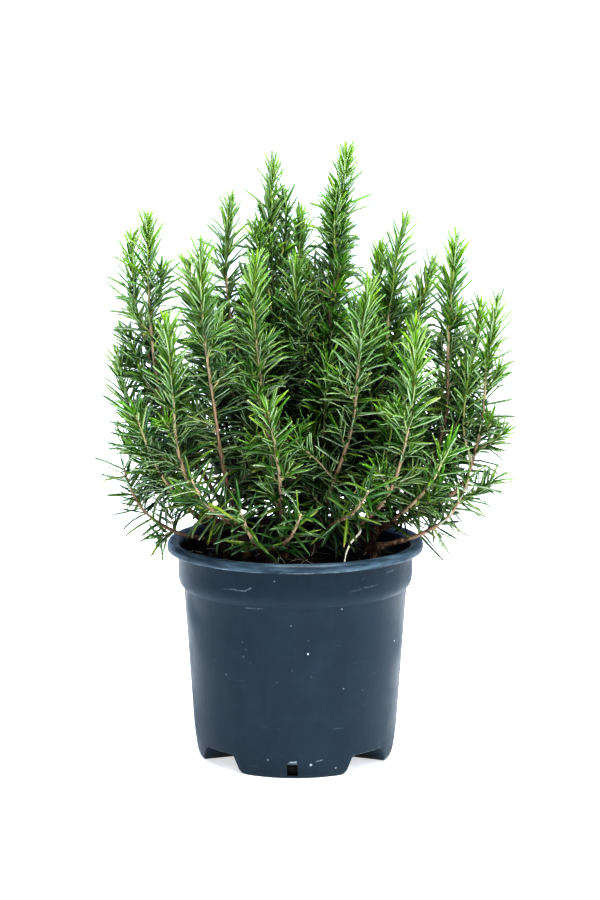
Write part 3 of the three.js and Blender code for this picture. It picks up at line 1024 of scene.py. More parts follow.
@dataclass
class Pot:
    """The nursery pot: a tapered shell with a step, a collar and a rolled lip, on four slotted feet."""

    rim_radius: float = 95.0
    height: float = 163.5
    base_radius: float = 73.5
    foot_profile: tuple[tuple[float, float], ...] = (
        (68.4, 0.0), (70.6, 0.35), (71.9, 1.5), (73.0, 4.4),
        (73.9, 9.3), (74.8, 15.6), (75.6, 22.5), (76.3, 31.0),
    )
    step_radius: float = 83.0
    step_height: float = 129.3
    step_profile: tuple[tuple[float, float], ...] = (
        (0.0, -0.9), (0.4, 0.1), (1.5, 0.9), (2.5, 2.2),
        (3.3, 4.0), (3.8, 6.2), (4.05, 8.7), (4.1, 11.8),
    )
    collar_radius: float = 87.5
    collar_middle: float = 145.0
    collar_draw: float = 0.4
    lip_height: float = 6.7
    lip_thickness: float = 1.4
    lip_round: float = 3.5
    roll: float = 4.2
    wall: float = 1.5
    floor: float = 2.0
    sides: int = 128
    feet: int = 4
    turn: float = -1.6
    arch_height: float = 14.5
    arch_foot: tuple[float, float] = (31.5, 69.0)
    arch_top: tuple[float, float] = (36.0, 58.5)
    arch_depth: float = 28.0
    arch_flare: tuple[tuple[float, float], ...] = (
        (-1.5, 4.2), (0.0, 3.0), (0.5, 1.9), (1.5, 0.8), (3.2, 0.0),
    )
    slot_width: float = 7.4
    slot_low: float = 2.5
    slot_high: float = 11.0
    slot_depth: float = 12.0
    sill_height: float = 1.7
    sill_depth: float = 0.04
    sill_round: float = 0.5
    sill_wear_and_highlight: float = 0.12
    skin: float = 0.8
    wear_share: float = 0.3
    wear_size: float = 6.0
    grime_share: float = 0.7
    grime_gain: float = 0.3
    full_grime: float = 0.97
    edge: float = 0.35
    shortest: float = 0.3

    @property
    def collar_top(self) -> float:
        """The height where the collar's wall meets the lip."""
        return self.height - self.lip_height + 2

    def collar_at(self, height: float) -> float:
        """The collar's outer radius at a height.

        Args:
            height: The height over the floor.

        Returns:
            The radius.
        """
        out, up = self.step_profile[-1]
        low = self.step_height + up
        share = (height - low) / (self.collar_top - low)
        start = self.step_radius + out
        return start + (self.collar_radius - self.collar_draw - start) * share

    def wall_outline(self, inset: float) -> list[tuple[float, float]]:
        """The wall's outline from the floor to under the lip.

        Args:
            inset: How far it is drawn in from the outside.

        Returns:
            Its points.
        """
        bottom = self.floor + inset - self.wall if inset else 0.0
        step = self.step_radius - inset
        knee, low = self.foot_profile[-1]
        foot = [(out - inset, up + bottom * (1 - up / low)) for out, up in self.foot_profile]
        start, rise = knee - inset, self.step_height + self.step_profile[0][1] - low
        taper = [(start + (step - start) * share / 5, low + rise * share / 5) for share in range(1, 5)]
        return [
            (0.0, bottom),
            (self.foot_profile[0][0] * 0.5, bottom),
            *foot,
            *taper,
            *((step + out, self.step_height + up) for out, up in self.step_profile),
            (self.collar_at(self.collar_middle) - inset, self.collar_middle),
            (self.collar_at(self.collar_top) - inset, self.collar_top),
        ]

    def lip_outline(self) -> list[tuple[float, float]]:
        """The lip's outline: out from the collar, down as a skirt, and back over the top.

        Returns:
            Its points.
        """
        bottom = self.height - self.lip_height
        inner = self.rim_radius - self.lip_thickness
        return [
            (self.collar_radius + 0.35, self.collar_top + 0.9),
            (inner - self.lip_thickness, self.height - 3 * self.lip_thickness),
            (inner - 0.35, self.collar_top + 0.7),
            (inner, self.collar_top),
            (inner, bottom + 0.5),
            *arc((inner + 0.5, bottom + 0.5), 0.5, 180, 270, 2),
            *arc((self.rim_radius - 0.5, bottom + 0.5), 0.5, 270, 360, 3),
            (self.rim_radius + 0.15, bottom + 2.0),
            *arc((self.rim_radius - self.lip_round, self.height - self.lip_round), self.lip_round, 0, 90, 8),
            (self.rim_radius - 5.0, self.height - 0.15),
            (self.rim_radius - 6.5, self.height - 0.7),
            (self.collar_radius - 0.4, self.height - 1.7),
            (self.collar_radius - 1.2, self.height - 2.8),
            (self.collar_radius - self.wall, self.height - self.roll),
        ]

    def wall_at(self, height: float) -> float:
        """The wall's outer radius by the feet.

        Args:
            height: The height over the floor.

        Returns:
            The radius there.
        """
        for (low_radius, low), (radius, high) in zip(self.foot_profile, self.foot_profile[1:]):
            if height <= high:
                return low_radius + (radius - low_radius) * (height - low) / (high - low)
        return self.foot_profile[-1][0]

    def arch(self, index: int, grow: float) -> bpy.types.Mesh:
        """The block that an arch between two feet takes away.

        Args:
            index: Which arch.
            grow: How much larger the block is on every side.

        Returns:
            The block's mesh.
        """
        near = self.base_radius - self.arch_depth - grow
        far = self.rim_radius + 4
        profile = [(height, height / self.arch_height, spread) for height, spread in self.arch_flare]
        profile.append((self.arch_height + grow, 1 + grow / self.arch_height, 0.0))
        levels: list[list[Vector]] = [[] for _ in profile]
        for foot, top, side in zip(self.arch_foot, self.arch_top, (-1, 1)):
            low, high = (math.radians(angle) + side * grow / self.base_radius for angle in (foot, top))
            aim = Vector((math.sin(low), -math.cos(low), 0))
            lean = (Vector((math.sin(high), -math.cos(high), 0)) - aim) * self.base_radius
            for level, (height, climb, spread) in zip(levels, profile):
                shift = lean * climb - lean.normalized() * spread + Vector((0, 0, height))
                level += [aim * reach + shift for reach in ((near, far) if side < 0 else (far, near))]
        shape = bmesh.new()
        rings = []
        for level in levels:
            points = [shape.verts.new(point * MM) for point in level]
            rings.append([shape.edges.new(pair) for pair in zip(points, (*points[1:], points[0]))])
        for lower, upper in zip(rings, rings[1:]):
            bmesh.ops.bridge_loops(shape, edges=lower + upper)
        for ring in (rings[0], rings[-1]):
            bmesh.ops.contextual_create(shape, geom=ring)
        across = Matrix.Diagonal((-1 if index in (1, 2) else 1, -1 if index > 1 else 1, 1))
        bmesh.ops.transform(shape, matrix=across.to_4x4(), verts=shape.verts)
        self.rotated(shape, 0)
        bmesh.ops.recalc_face_normals(shape, faces=shape.faces)
        return mesh_of(shape, "arch", smooth=False)

    def rotated(self, shape: bmesh.types.BMesh, index: int) -> None:
        """Turns a shape from the front to one of the feet, as the pot stands."""
        turn = Matrix.Rotation(index * math.tau / self.feet + math.radians(self.turn), 3, "Z")
        bmesh.ops.rotate(shape, verts=shape.verts, cent=(0, 0, 0), matrix=turn)

    def block(self, index: int, size: Point, place: Point) -> bmesh.types.BMesh:
        """A block in the middle of a foot.

        Args:
            index: Which foot.
            size: The block's size.
            place: Its centre on the front foot.

        Returns:
            The block.
        """
        shape = bmesh.new()
        bmesh.ops.create_cube(shape, size=1.0)
        bmesh.ops.scale(shape, verts=shape.verts, vec=Vector(size) * MM)
        bmesh.ops.translate(shape, verts=shape.verts, vec=Vector(place) * MM)
        self.rotated(shape, index)
        return shape

    def slot_block(self, index: int) -> bpy.types.Mesh:
        """The block that a drain slot takes away.

        Args:
            index: Which foot.

        Returns:
            The block's mesh.
        """
        size = (self.slot_width, self.slot_depth * 2, self.slot_high - self.slot_low)
        place = (0.0, -self.base_radius, (self.slot_high + self.slot_low) / 2)
        return mesh_of(self.block(index, size, place), "slot", smooth=False)

    def sill(self, index: int) -> bpy.types.Mesh:
        """The small rounded sill that the mould leaves above a drain slot.

        Args:
            index: Which foot.

        Returns:
            The sill's mesh.
        """
        size = (self.slot_width, 2 * self.sill_depth + 2 * self.sill_round, self.sill_height)
        at = self.slot_high + self.sill_height / 2 + self.sill_round
        shape = self.block(index, size, (0.0, -self.wall_at(at) + self.sill_round, at))
        bmesh.ops.bevel(
            shape, geom=shape.edges, offset=self.sill_round * MM, segments=3, profile=0.5,
            affect="EDGES", material=-1, clamp_overlap=True,
        )
        return mesh_of(shape, "sill")

    def wear(self, shell: bpy.types.Mesh) -> list[float]:
        """How far each point of the shell is rubbed pale: only the arches' edges are, unevenly.

        Args:
            shell: The shell.

        Returns:
            A share for each point.
        """
        marks = []
        for vertex in shell.vertices:
            x, y, z = vertex.co / MM
            is_edge = abs(z - self.arch_height) < 0.05 and math.hypot(x, y) > self.wall_at(z) - self.skin
            patch = noise.noise(vertex.co / (self.wear_size * MM))
            marks.append(self.wear_share + self.wear_share * patch if is_edge else 0.0)
        return marks

    def grime(self, shell: bpy.types.Mesh) -> list[float]:
        """How dark each point of the shell is painted: inside the arches, the farther in the more, partly the
        dirt there and partly painted shade of the recess.

        Args:
            shell: The shell.

        Returns:
            A share for each point.
        """
        marks = []
        for vertex in shell.vertices:
            x, y, z = vertex.co / MM
            depth = self.wall_at(z) - self.skin - math.hypot(x, y)
            is_inside = z < self.arch_height + 0.5 and depth > 0
            # painted shade with some dirt: the deeper inside the arch, the darker
            grime = min(self.grime_share + depth * self.grime_gain, self.full_grime)
            marks.append(grime if is_inside else 0.0)
        return marks

    def build(self) -> bpy.types.Object:
        """Builds the pot.

        Returns:
            The piece that stands for the CAD's pot.
        """
        top = [(0.0, self.height - self.roll)]
        whole = mesh_of(turned([*self.wall_outline(0), *self.lip_outline(), *top], self.sides), "pot")
        mouth = [(self.collar_radius - self.wall, self.height + 1), (0.0, self.height + 1)]
        inside = mesh_of(turned([*self.wall_outline(self.wall), *mouth], self.sides), "inside")
        cavity = without(inside, [self.arch(index, self.wall) for index in range(self.feet)])
        arches = [self.arch(index, 0.0) for index in range(self.feet)]
        slots = [self.slot_block(index) for index in range(self.feet)]
        shell = without(whole, [cavity, *arches, *slots])
        shape = bmesh.new()
        shape.from_mesh(shell)
        bmesh.ops.remove_doubles(shape, verts=shape.verts, dist=self.shortest * MM)
        bmesh.ops.dissolve_degenerate(shape, edges=shape.edges, dist=0.02 * MM)
        shell = mesh_of(shape, "shell")
        rounding = {
            "width": self.edge * MM, "segments": 2, "limit_method": "ANGLE",
            "angle_limit": math.radians(38), "use_clamp_overlap": False, "harden_normals": False,
        }
        shell = with_modifiers(shell, ("BEVEL", rounding))
        gathering = Gathering("worn", "grime")
        gathering.add(shell, worn=self.wear(shell), grime=self.grime(shell))
        for index in range(self.feet):
            # the sills' pale tint is their wear and a painted highlight of the light they catch
            gathering.add(self.sill(index), worn=self.sill_wear_and_highlight)
        mesh = gathering.mesh("nursery_pot")
        return shown_piece(mesh, "nursery_pot", [Finish.POT], Slot.PLASTIC, "pot")


@dataclass
class Soil:
    """The peat ball: it fills the pot, mounded in the middle, with litter on top."""

    pot: Pot
    edge_height: float = 149.0
    mound: float = 11.0
    bump: float = 1.4
    bump_width: float = 6.0
    gap: float = 0.3
    rings: int = 40
    sides: int = 120
    clod: float = 1.5
    clod_size: float = 9.0
    grit: float = 0.7
    grit_size: float = 2.6
    crumbs: int = 620
    crumb_margin: float = 6.0
    small_share: float = 0.8
    strands: int = 70
    strand_margin: float = 3.0
    strand_steps: int = 8
    loop_steps: int = 18

    @property
    def reach(self) -> float:
        """The radius of the pot's mouth inside its wall."""
        return self.pot.collar_radius - self.pot.wall

    def level(self, x: float, y: float) -> float:
        """The height of the soil's surface without its crumbs.

        Args:
            x: The place to the right.
            y: The place to the back.

        Returns:
            The height.
        """
        share = min(math.hypot(x, y) / self.reach, 1.0)
        swell = self.bump * math.sin(x / self.bump_width) * math.cos(y / self.bump_width)
        return self.edge_height + self.mound * math.cos(share * math.pi / 2) ** 2 + swell * (1 - share)

    def rough_level(self, x: float, y: float) -> float:
        """The height of the soil's surface with its clods and crumbs.

        Args:
            x: The place to the right.
            y: The place to the back.

        Returns:
            The height.
        """
        clods = noise.noise(Vector((x, y, 0)) / self.clod_size)
        grit = abs(noise.noise(Vector((x, y, 7)) / self.grit_size))
        return self.level(x, y) + self.clod * clods + self.grit * (2 * grit - 0.3)

    def ball(self) -> bpy.types.Mesh:
        """The soil's solid, clear of the pot's wall and arches, with a crumbly top.

        Returns:
            Its mesh.
        """
        inset = self.pot.wall + self.gap
        shoulder = self.edge_height - 2.5
        wall = self.pot.wall_outline(inset)[:-1]
        rim = self.pot.collar_at(shoulder) - inset
        top = [(rim * (1 - ring / self.rings), self.edge_height) for ring in range(self.rings)]
        outline = [*wall, (rim, shoulder), *top[1:], (0.0, self.edge_height)]
        solid = mesh_of(turned(outline, self.sides), "soil")
        solid = without(solid, [self.pot.arch(index, inset) for index in range(self.pot.feet)])
        for vertex in solid.vertices:
            x, y, z = vertex.co / MM
            if z > shoulder + 1:
                vertex.co.z = self.rough_level(x, y) * MM
        return solid

    def crumb(self, draw: random.Random) -> bpy.types.Mesh:
        """One crumb of peat that lies on the surface.

        Args:
            draw: Where its random numbers come from.

        Returns:
            The crumb's mesh.
        """
        shape = bmesh.new()
        bmesh.ops.create_icosphere(shape, subdivisions=1, radius=1.0)
        for vertex in shape.verts:
            vertex.co *= draw.uniform(0.7, 1.25)
        angle = draw.uniform(0, math.tau)
        reach = (self.reach - self.crumb_margin) * math.sqrt(draw.random())
        x, y = reach * math.cos(angle), reach * math.sin(angle)
        size = draw.uniform(0.5, 1.1) if draw.random() < self.small_share else draw.uniform(1.2, 2.4)
        place = Vector((x, y, self.rough_level(x, y) + 0.2 * size)) * MM
        bmesh.ops.scale(shape, verts=shape.verts, vec=Vector((size, size, size * 0.7)) * MM)
        bmesh.ops.translate(shape, verts=shape.verts, vec=place)
        return mesh_of(shape, "crumb", smooth=False)

    def strand(self, draw: random.Random) -> bpy.types.Mesh:
        """One root or bark fibre that lies on the surface and may arch off it.

        Args:
            draw: Where its random numbers come from.

        Returns:
            The fibre's mesh.
        """
        angle = draw.uniform(0, math.tau)
        reach = (self.reach - self.strand_margin - 5) * math.sqrt(draw.random())
        x, y = reach * math.cos(angle), reach * math.sin(angle)
        heading, length = draw.uniform(0, math.tau), draw.uniform(7, 26)
        turn, arch = draw.uniform(-1.6, 1.6), draw.choice((0.0, 0.0, 1.0, 3.5))
        radius = draw.uniform(0.14, 0.34)
        stations, steps, limit = [], self.strand_steps, self.reach - self.strand_margin
        for step in range(steps + 1):
            share = step / steps
            lift = self.rough_level(x, y) + radius + arch * math.sin(math.pi * share)
            stations.append((Vector((x, y, lift)) * MM, radius * MM * (1 - 0.6 * share)))
            heading += turn / steps
            x += math.cos(heading) * length / steps
            y += math.sin(heading) * length / steps
            if math.hypot(x, y) > limit:
                x, y = (c * limit / math.hypot(x, y) for c in (x, y))
        return tube(stations, 5)

    def build(self) -> bpy.types.Object:
        """Builds the soil and the litter on it.

        Returns:
            The piece that stands for the CAD's soil.
        """
        draw = random.Random(SEED + 1)
        gathering = Gathering()
        gathering.add(self.ball())
        for _ in range(self.crumbs):
            gathering.add(self.crumb(draw))
        mesh = gathering.mesh("potting_soil")
        return shown_piece(mesh, "potting_soil", [Finish.SOIL], Slot.SOIL, "soil")

    def build_litter(self) -> bpy.types.Object:
        """Builds the roots and fibres that lie on the soil.

        Returns:
            The piece, which stands for no CAD node.
        """
        draw = random.Random(SEED + 2)
        gathering = Gathering("tint")
        for _ in range(self.strands):
            gathering.add(self.strand(draw), tint=draw.random() ** 1.6)
        for points, radius, tint in ROOT_LOOPS:
            path = StemPath([Vector(point) * MM for point in points])
            stations = path.tapered(path.length, self.loop_steps, radius, 1, 0.5)
            gathering.add(tube(stations, 7), tint=tint)
        return shown_piece(gathering.mesh("root_litter"), "root_litter", [Finish.ROOT], Slot.WOOD)


# Roots that stand out of the soil, as points, radius and tint, in the places where they show
ROOT_LOOPS: tuple[tuple[tuple[Point, ...], float, float], ...] = (
    (((10, -6, 160), (17, -8, 168), (20, -10, 164), (16, -14, 156)), 0.55, 0.35),
    (((-6, -52, 152), (-9, -60, 160), (-12, -66, 163), (-10, -74, 155), (-3, -76, 148)), 0.4, 0.6),
    (((-22, -62, 150), (-18, -68, 157), (-14, -70, 160), (-8, -73, 154), (-5, -76, 148)), 0.35, 0.45),
    (((-66, -40, 149), (-56, -46, 154), (-48, -52, 153), (-38, -60, 151), (-34, -66, 147)), 0.8, 0.3),
    (((20, -62, 150), (24, -66, 156), (28, -68, 158), (32, -70, 152)), 0.4, 0.5),
    (((45, -33, 180), (47, -44, 177), (40, -50, 170), (35.6, -60, 159), (36.4, -64, 150)), 1.1, 1.0),
    (((12, -22, 168), (14, -26, 163), (12, -30, 157), (5, -30, 151)), 0.6, 0.42),
    (((-3, 14, 158), (0.5, 22, 157), (4, 26, 154), (10, 24, 153)), 0.8, 0.8),
    (((-82, -40, 158), (-76, -44, 157), (-66, -50, 155), (-56, -52, 151)), 1.1, 0.25),
)


class NeedleShape:
    """One needle's shape, made once and set down many times.

    The needle runs up its Z axis, its upper side faces Y, and it is bent back, away from that side.
    """

    LENGTH = 22.0
    THICKNESS = 0.34
    SPANS = {
        "main": ((0.0, 0.42), (0.14, 0.95), (0.52, 1.0), (0.85, 0.7), (1.0, 0.12)),
        "tuft": ((0.0, 0.5), (0.22, 1.0), (0.74, 0.82), (1.0, 0.12)),
    }

    def __init__(self, width: float, bend: float, twist: float, kind: str) -> None:
        """Draws the needle out of a small section.

        Args:
            width: Its widest width.
            bend: How far it bends from root to tip, in degrees.
            twist: How far it twists from root to tip, in degrees.
            kind: Whether it is drawn in the steps of a main needle or a tuft's.
        """
        shape = bmesh.new()
        ring = bmesh.ops.create_circle(shape, cap_ends=True, segments=3, radius=1.0)["verts"]
        half_turn = Matrix.Rotation(math.pi, 3, "Z")
        bmesh.ops.rotate(shape, verts=ring, cent=(0, 0, 0), matrix=half_turn)
        keel = min(ring, key=lambda vertex: vertex.co.y)
        under_ring = [1.0 if vertex is keel else 0.3 for vertex in ring]
        half = width / 2 / max(vertex.co.x for vertex in ring)
        spans = self.SPANS[kind]
        edges = list(shape.edges)
        placed = Matrix.Identity(4)
        point, before = Vector((0, 0, 0)), 0.0
        self.along: list[float] = []
        for share, wide in spans:
            if share > 0:
                ring, edges = drawn_out(shape, edges)
                middle = math.radians(bend) * ((share + before) / 2) ** 1.25
                point += Vector((0, -math.sin(middle), math.cos(middle))) * self.LENGTH * (share - before)
                before = share
            tilt = Matrix.Rotation(math.radians(bend) * share**1.25, 4, "X")
            turn = tilt @ Matrix.Rotation(math.radians(twist) * share, 4, "Z")
            size = Matrix.Diagonal((half * wide, self.THICKNESS * width * min(1.0, 0.5 + wide), 1, 1))
            place = Matrix.Translation(point) @ turn @ size
            bmesh.ops.transform(shape, matrix=place @ placed.inverted(), verts=ring)
            placed = place
            self.along += [share] * len(ring)
        bmesh.ops.contextual_create(shape, geom=edges)
        bmesh.ops.scale(shape, verts=shape.verts, vec=(MM, MM, MM))
        bmesh.ops.recalc_face_normals(shape, faces=shape.faces)
        for face in shape.faces:
            face.material_index = 1
        self.mesh = mesh_of(shape, "needle")
        self.under = under_ring * len(spans)
        self.rest = [0.0] * (3 * len(self.mesh.vertices))
        self.mesh.vertices.foreach_get("co", self.rest)

    def placed(self, place: Matrix) -> bpy.types.Mesh:
        """The needle's mesh, set down at a place.

        Args:
            place: The place, with its turn and its scale.

        Returns:
            The one mesh that all such needles share, so it is to be copied before the next.
        """
        self.mesh.vertices.foreach_set("co", self.rest)
        self.mesh.transform(place)
        return self.mesh


@dataclass(frozen=True)
class Shoot:
    """A stem or twig that carries needles.

    bare is the length at its foot that carries none, scale its needles' size, shift how much older
    they are than their distance below its tip says, and lush how many tufts and twigs it has.
    """

    path: StemPath
    bare: float
    scale: float = 1.0
    shift: float = 0.0
    is_main: bool = True
    lush: float = 1.0


@dataclass
class Growth:
    """How a rosemary stem carries its needles, by the distance below its tip."""

    pot: Pot
    soil: Soil
    draw: random.Random
    low_lean: float = 92.0
    tip_lean: float = 23.0
    lean_reach: float = 84.0
    tip_gap: float = 2.7
    low_gap: float = 6.8
    gap_reach: float = 62.0
    tip_length: float = 13.0
    low_length: float = 25.5
    length_reach: float = 23.0
    full_age: float = 190.0
    thin_from: float = 145.0
    full_to: float = 75.0
    shift_share: float = 0.6
    bud_reach: float = 7.0
    straight_reach: float = 48.0
    twig_from: float = 38.0
    twig_sure: float = 95.0
    twig_chance: float = 0.27
    low_chance: float = 0.2
    twig_share: float = 0.21
    longest_twig: float = 34.0
    droop_height: float = 225.0
    margin: float = 0.9
    redraws: int = 7
    redraw_step: float = 9.0
    lean_spread: float = 8.0
    roll_spread: float = 24.0
    young_lift: float = 0.14
    lift_loss: float = 0.3
    sag: float = 0.12
    stem_skin: float = 0.8
    tuft_younger: float = 0.1
    first_node: float = 0.6
    twig_closer: float = 0.9
    main_shapes: list[NeedleShape] = field(default_factory=list)
    tuft_shapes: list[NeedleShape] = field(default_factory=list)
    count: int = 0

    def __post_init__(self) -> None:
        """Makes the few needle shapes that all sprays share."""
        forms = ((2.35, 4, 6), (2.6, 11, -12), (2.4, 17, 34), (2.3, -8, -20), (2.3, 30, 10), (2.7, 46, -6))
        self.main_shapes = [NeedleShape(*form, "main") for form in forms]
        forms = ((1.9, 6, 8), (2.05, 22, -14), (1.85, 38, 12), (2.1, -10, -30))
        self.tuft_shapes = [NeedleShape(*form, "tuft") for form in forms]

    def eased(self, low: float, high: float, below: float, reach: float) -> float:
        """A value that goes from high at the tip to low far below it."""
        return low + (high - low) * math.exp(-below / reach)

    def is_clear(self, point: Vector) -> bool:
        """Whether a point of a needle is out of the pot's wall and off the soil.

        Args:
            point: The point, in metres.

        Returns:
            True where there is room.
        """
        x, y, z = point / MM
        reach = math.hypot(x, y)
        if reach > self.pot.rim_radius + self.margin:
            return True
        if reach > self.pot.collar_radius - 4:
            return z > self.pot.height + self.margin
        return z > self.soil.level(x, y) + self.margin

    def needle(
        self, sheaf: Gathering, seat: tuple[Vector, Vector, Vector], lean: float, length: float,
        age: float, shapes: Sequence[NeedleShape],
    ) -> None:
        """Sets one needle on a stem, or leaves it out where there is no room.

        Args:
            sheaf: What it is added to.
            seat: Where it leaves the stem, the stem's direction there, and the direction out of it.
            lean: The angle between the stem and the needle, in degrees.
            length: The needle's length.
            age: How old it is, from 0 to 1.
            shapes: The shapes that it may have.
        """
        root, aim, out = seat
        shape = self.draw.choice(shapes)
        tint = self.draw.random()
        roll = self.draw.gauss(0, self.roll_spread)
        lift = self.young_lift - self.lift_loss * age
        reach = length * MM
        for attempt in range(self.redraws):
            tilt = math.radians(lean - self.redraw_step * attempt)
            way = (aim * math.cos(tilt) + out * math.sin(tilt) + Vector((0, 0, lift))).normalized()
            ends = [
                root + way * reach * share + Vector((0, 0, -self.sag * reach * share * share))
                for share in (0.5, 0.8, 1.0)
            ]
            if all(self.is_clear(end) for end in ends):
                break
        else:
            return
        upper = (aim - way * aim.dot(way)).normalized()
        upper = Matrix.Rotation(math.radians(roll), 3, way) @ upper
        size = length / NeedleShape.LENGTH
        turn = Matrix((upper.cross(way), upper, way)).transposed().to_4x4()
        place = Matrix.Translation(root) @ turn @ Matrix.Diagonal((size**0.4, size, size, 1))
        sheaf.add(shape.placed(place), age=age, tint=tint, under=shape.under, along=shape.along)
        self.count += 1

    def tuft(self, below: float, lush: float) -> int:
        """How many small needles stand in each axil of a node.

        Args:
            below: The node's distance below the tip.
            lush: The share of them that grows.

        Returns:
            Their number.
        """
        if below < self.bud_reach:
            return self.draw.choice((0, 1, 1))
        some = (1, 2, 2, 3) if below < self.full_to else (1, 1, 2, 2)
        few = (0, 1, 1, 2) if below > self.thin_from else some
        return sum(self.draw.random() < lush for _ in range(self.draw.choice(few)))

    def node(self, sheaf: Gathering, shoot: Shoot, below: float, turn: float) -> None:
        """Sets the needles of one node: a pair, the tufts in their axils, and now and then a twig.

        Args:
            sheaf: What they are added to.
            shoot: The stem or twig.
            below: The node's distance below the tip.
            turn: The angle of the pair round the stem.
        """
        draw, path = self.draw, shoot.path
        point, aim, normal = path.frame(path.length - below * MM)
        side = aim.cross(normal)
        age = min((below + shoot.shift) / self.full_age, 1.0)
        seen = below + shoot.shift * self.shift_share
        lean = self.eased(self.low_lean, self.tip_lean, seen, self.lean_reach)
        length = self.eased(self.low_length, self.tip_length, seen, self.length_reach) * shoot.scale
        shapes = self.main_shapes if shoot.is_main else self.tuft_shapes
        if seen < self.straight_reach:
            shapes = shapes[:4]
        for half in (0.0, math.pi):
            angle = turn + half + draw.gauss(0, 0.18)
            out = normal * math.cos(angle) + side * math.sin(angle)
            seat = (point + out * self.stem_skin * MM, aim, out)
            tilt = lean + draw.gauss(0, self.lean_spread)
            self.needle(sheaf, seat, tilt, length * draw.uniform(0.8, 1.12), age, shapes)
            for _ in range(self.tuft(seen, shoot.lush)):
                near = angle + draw.gauss(0, 0.65)
                outer = normal * math.cos(near) + side * math.sin(near)
                root = point + outer * self.stem_skin * MM + aim * draw.uniform(0.2, 2.6) * MM
                size = length * draw.uniform(0.5, 1.0)
                tilt = lean * draw.uniform(0.45, 1.0)
                younger = max(age - self.tuft_younger, 0.0)
                self.needle(sheaf, (root, aim, outer), tilt, size, younger, self.tuft_shapes)
            is_low = point.z < self.droop_height * MM
            likely = self.low_chance if is_low else self.twig_chance * min(below / self.twig_sure, 1.6)
            if shoot.is_main and below > self.twig_from and draw.random() < likely * shoot.lush:
                reach = min(below * self.twig_share, self.longest_twig) * draw.uniform(0.55, 1.2)
                self.twig(sheaf, (point, aim, out), age, reach)

    def twig(self, sheaf: Gathering, seat: tuple[Vector, Vector, Vector], age: float, length: float) -> None:
        """Grows a short side shoot out of a node.

        Args:
            sheaf: What it is added to.
            seat: The stem's middle at the node, its direction there, and the direction out of it.
            age: How old the stem is there.
            length: The twig's length.
        """
        root, aim, out = seat
        lean = math.radians(self.draw.uniform(36, 68))
        way = aim * math.cos(lean) + out * math.sin(lean)
        is_low = root.z < self.droop_height * MM
        rise = (way + Vector((0, 0, self.draw.uniform(-0.5, 0.3) if is_low else 0.45))).normalized()
        middle = root + way * length * 0.5 * MM
        tip = middle + rise * length * 0.5 * MM
        if not (self.is_clear(middle) and self.is_clear(tip)):
            return
        path = StemPath([root, middle, tip])
        sheaf.add(tube(path.tapered(path.length, 4, 1, 0.8, 0.4), 5), age=age * 0.5)
        # the twig's needles count older, which also paints them darker as shade inside the plant
        self.dress(sheaf, Shoot(path, 4.0, 0.8, age * self.full_age * 0.45, False))

    def dress(self, sheaf: Gathering, shoot: Shoot) -> None:
        """Sets needles on a stem or twig from its tip down.

        Args:
            sheaf: What they are added to.
            shoot: The stem or twig.
        """
        turn = self.draw.uniform(0, math.tau)
        below = self.first_node
        length = shoot.path.length / MM
        while below < length - shoot.bare:
            self.node(sheaf, shoot, below, turn)
            seen = below + shoot.shift * self.shift_share
            gap = self.eased(self.low_gap, self.tip_gap, seen, self.gap_reach)
            below += gap * self.draw.uniform(0.85, 1.15) * (1.0 if shoot.is_main else self.twig_closer)
            turn += math.pi / 2 + self.draw.gauss(0, 0.16)


@dataclass(frozen=True)
class Clump:
    """One rooted foot, the point where it forks, and the ways of its stems."""

    name: str
    foot: tuple[float, float]
    fork: Point
    ways: tuple[tuple[Point, ...], ...]
    lush: float = 1.0
    sparse: tuple[int, ...] = ()
    has_sides: bool = True
    bare: float = 5.0


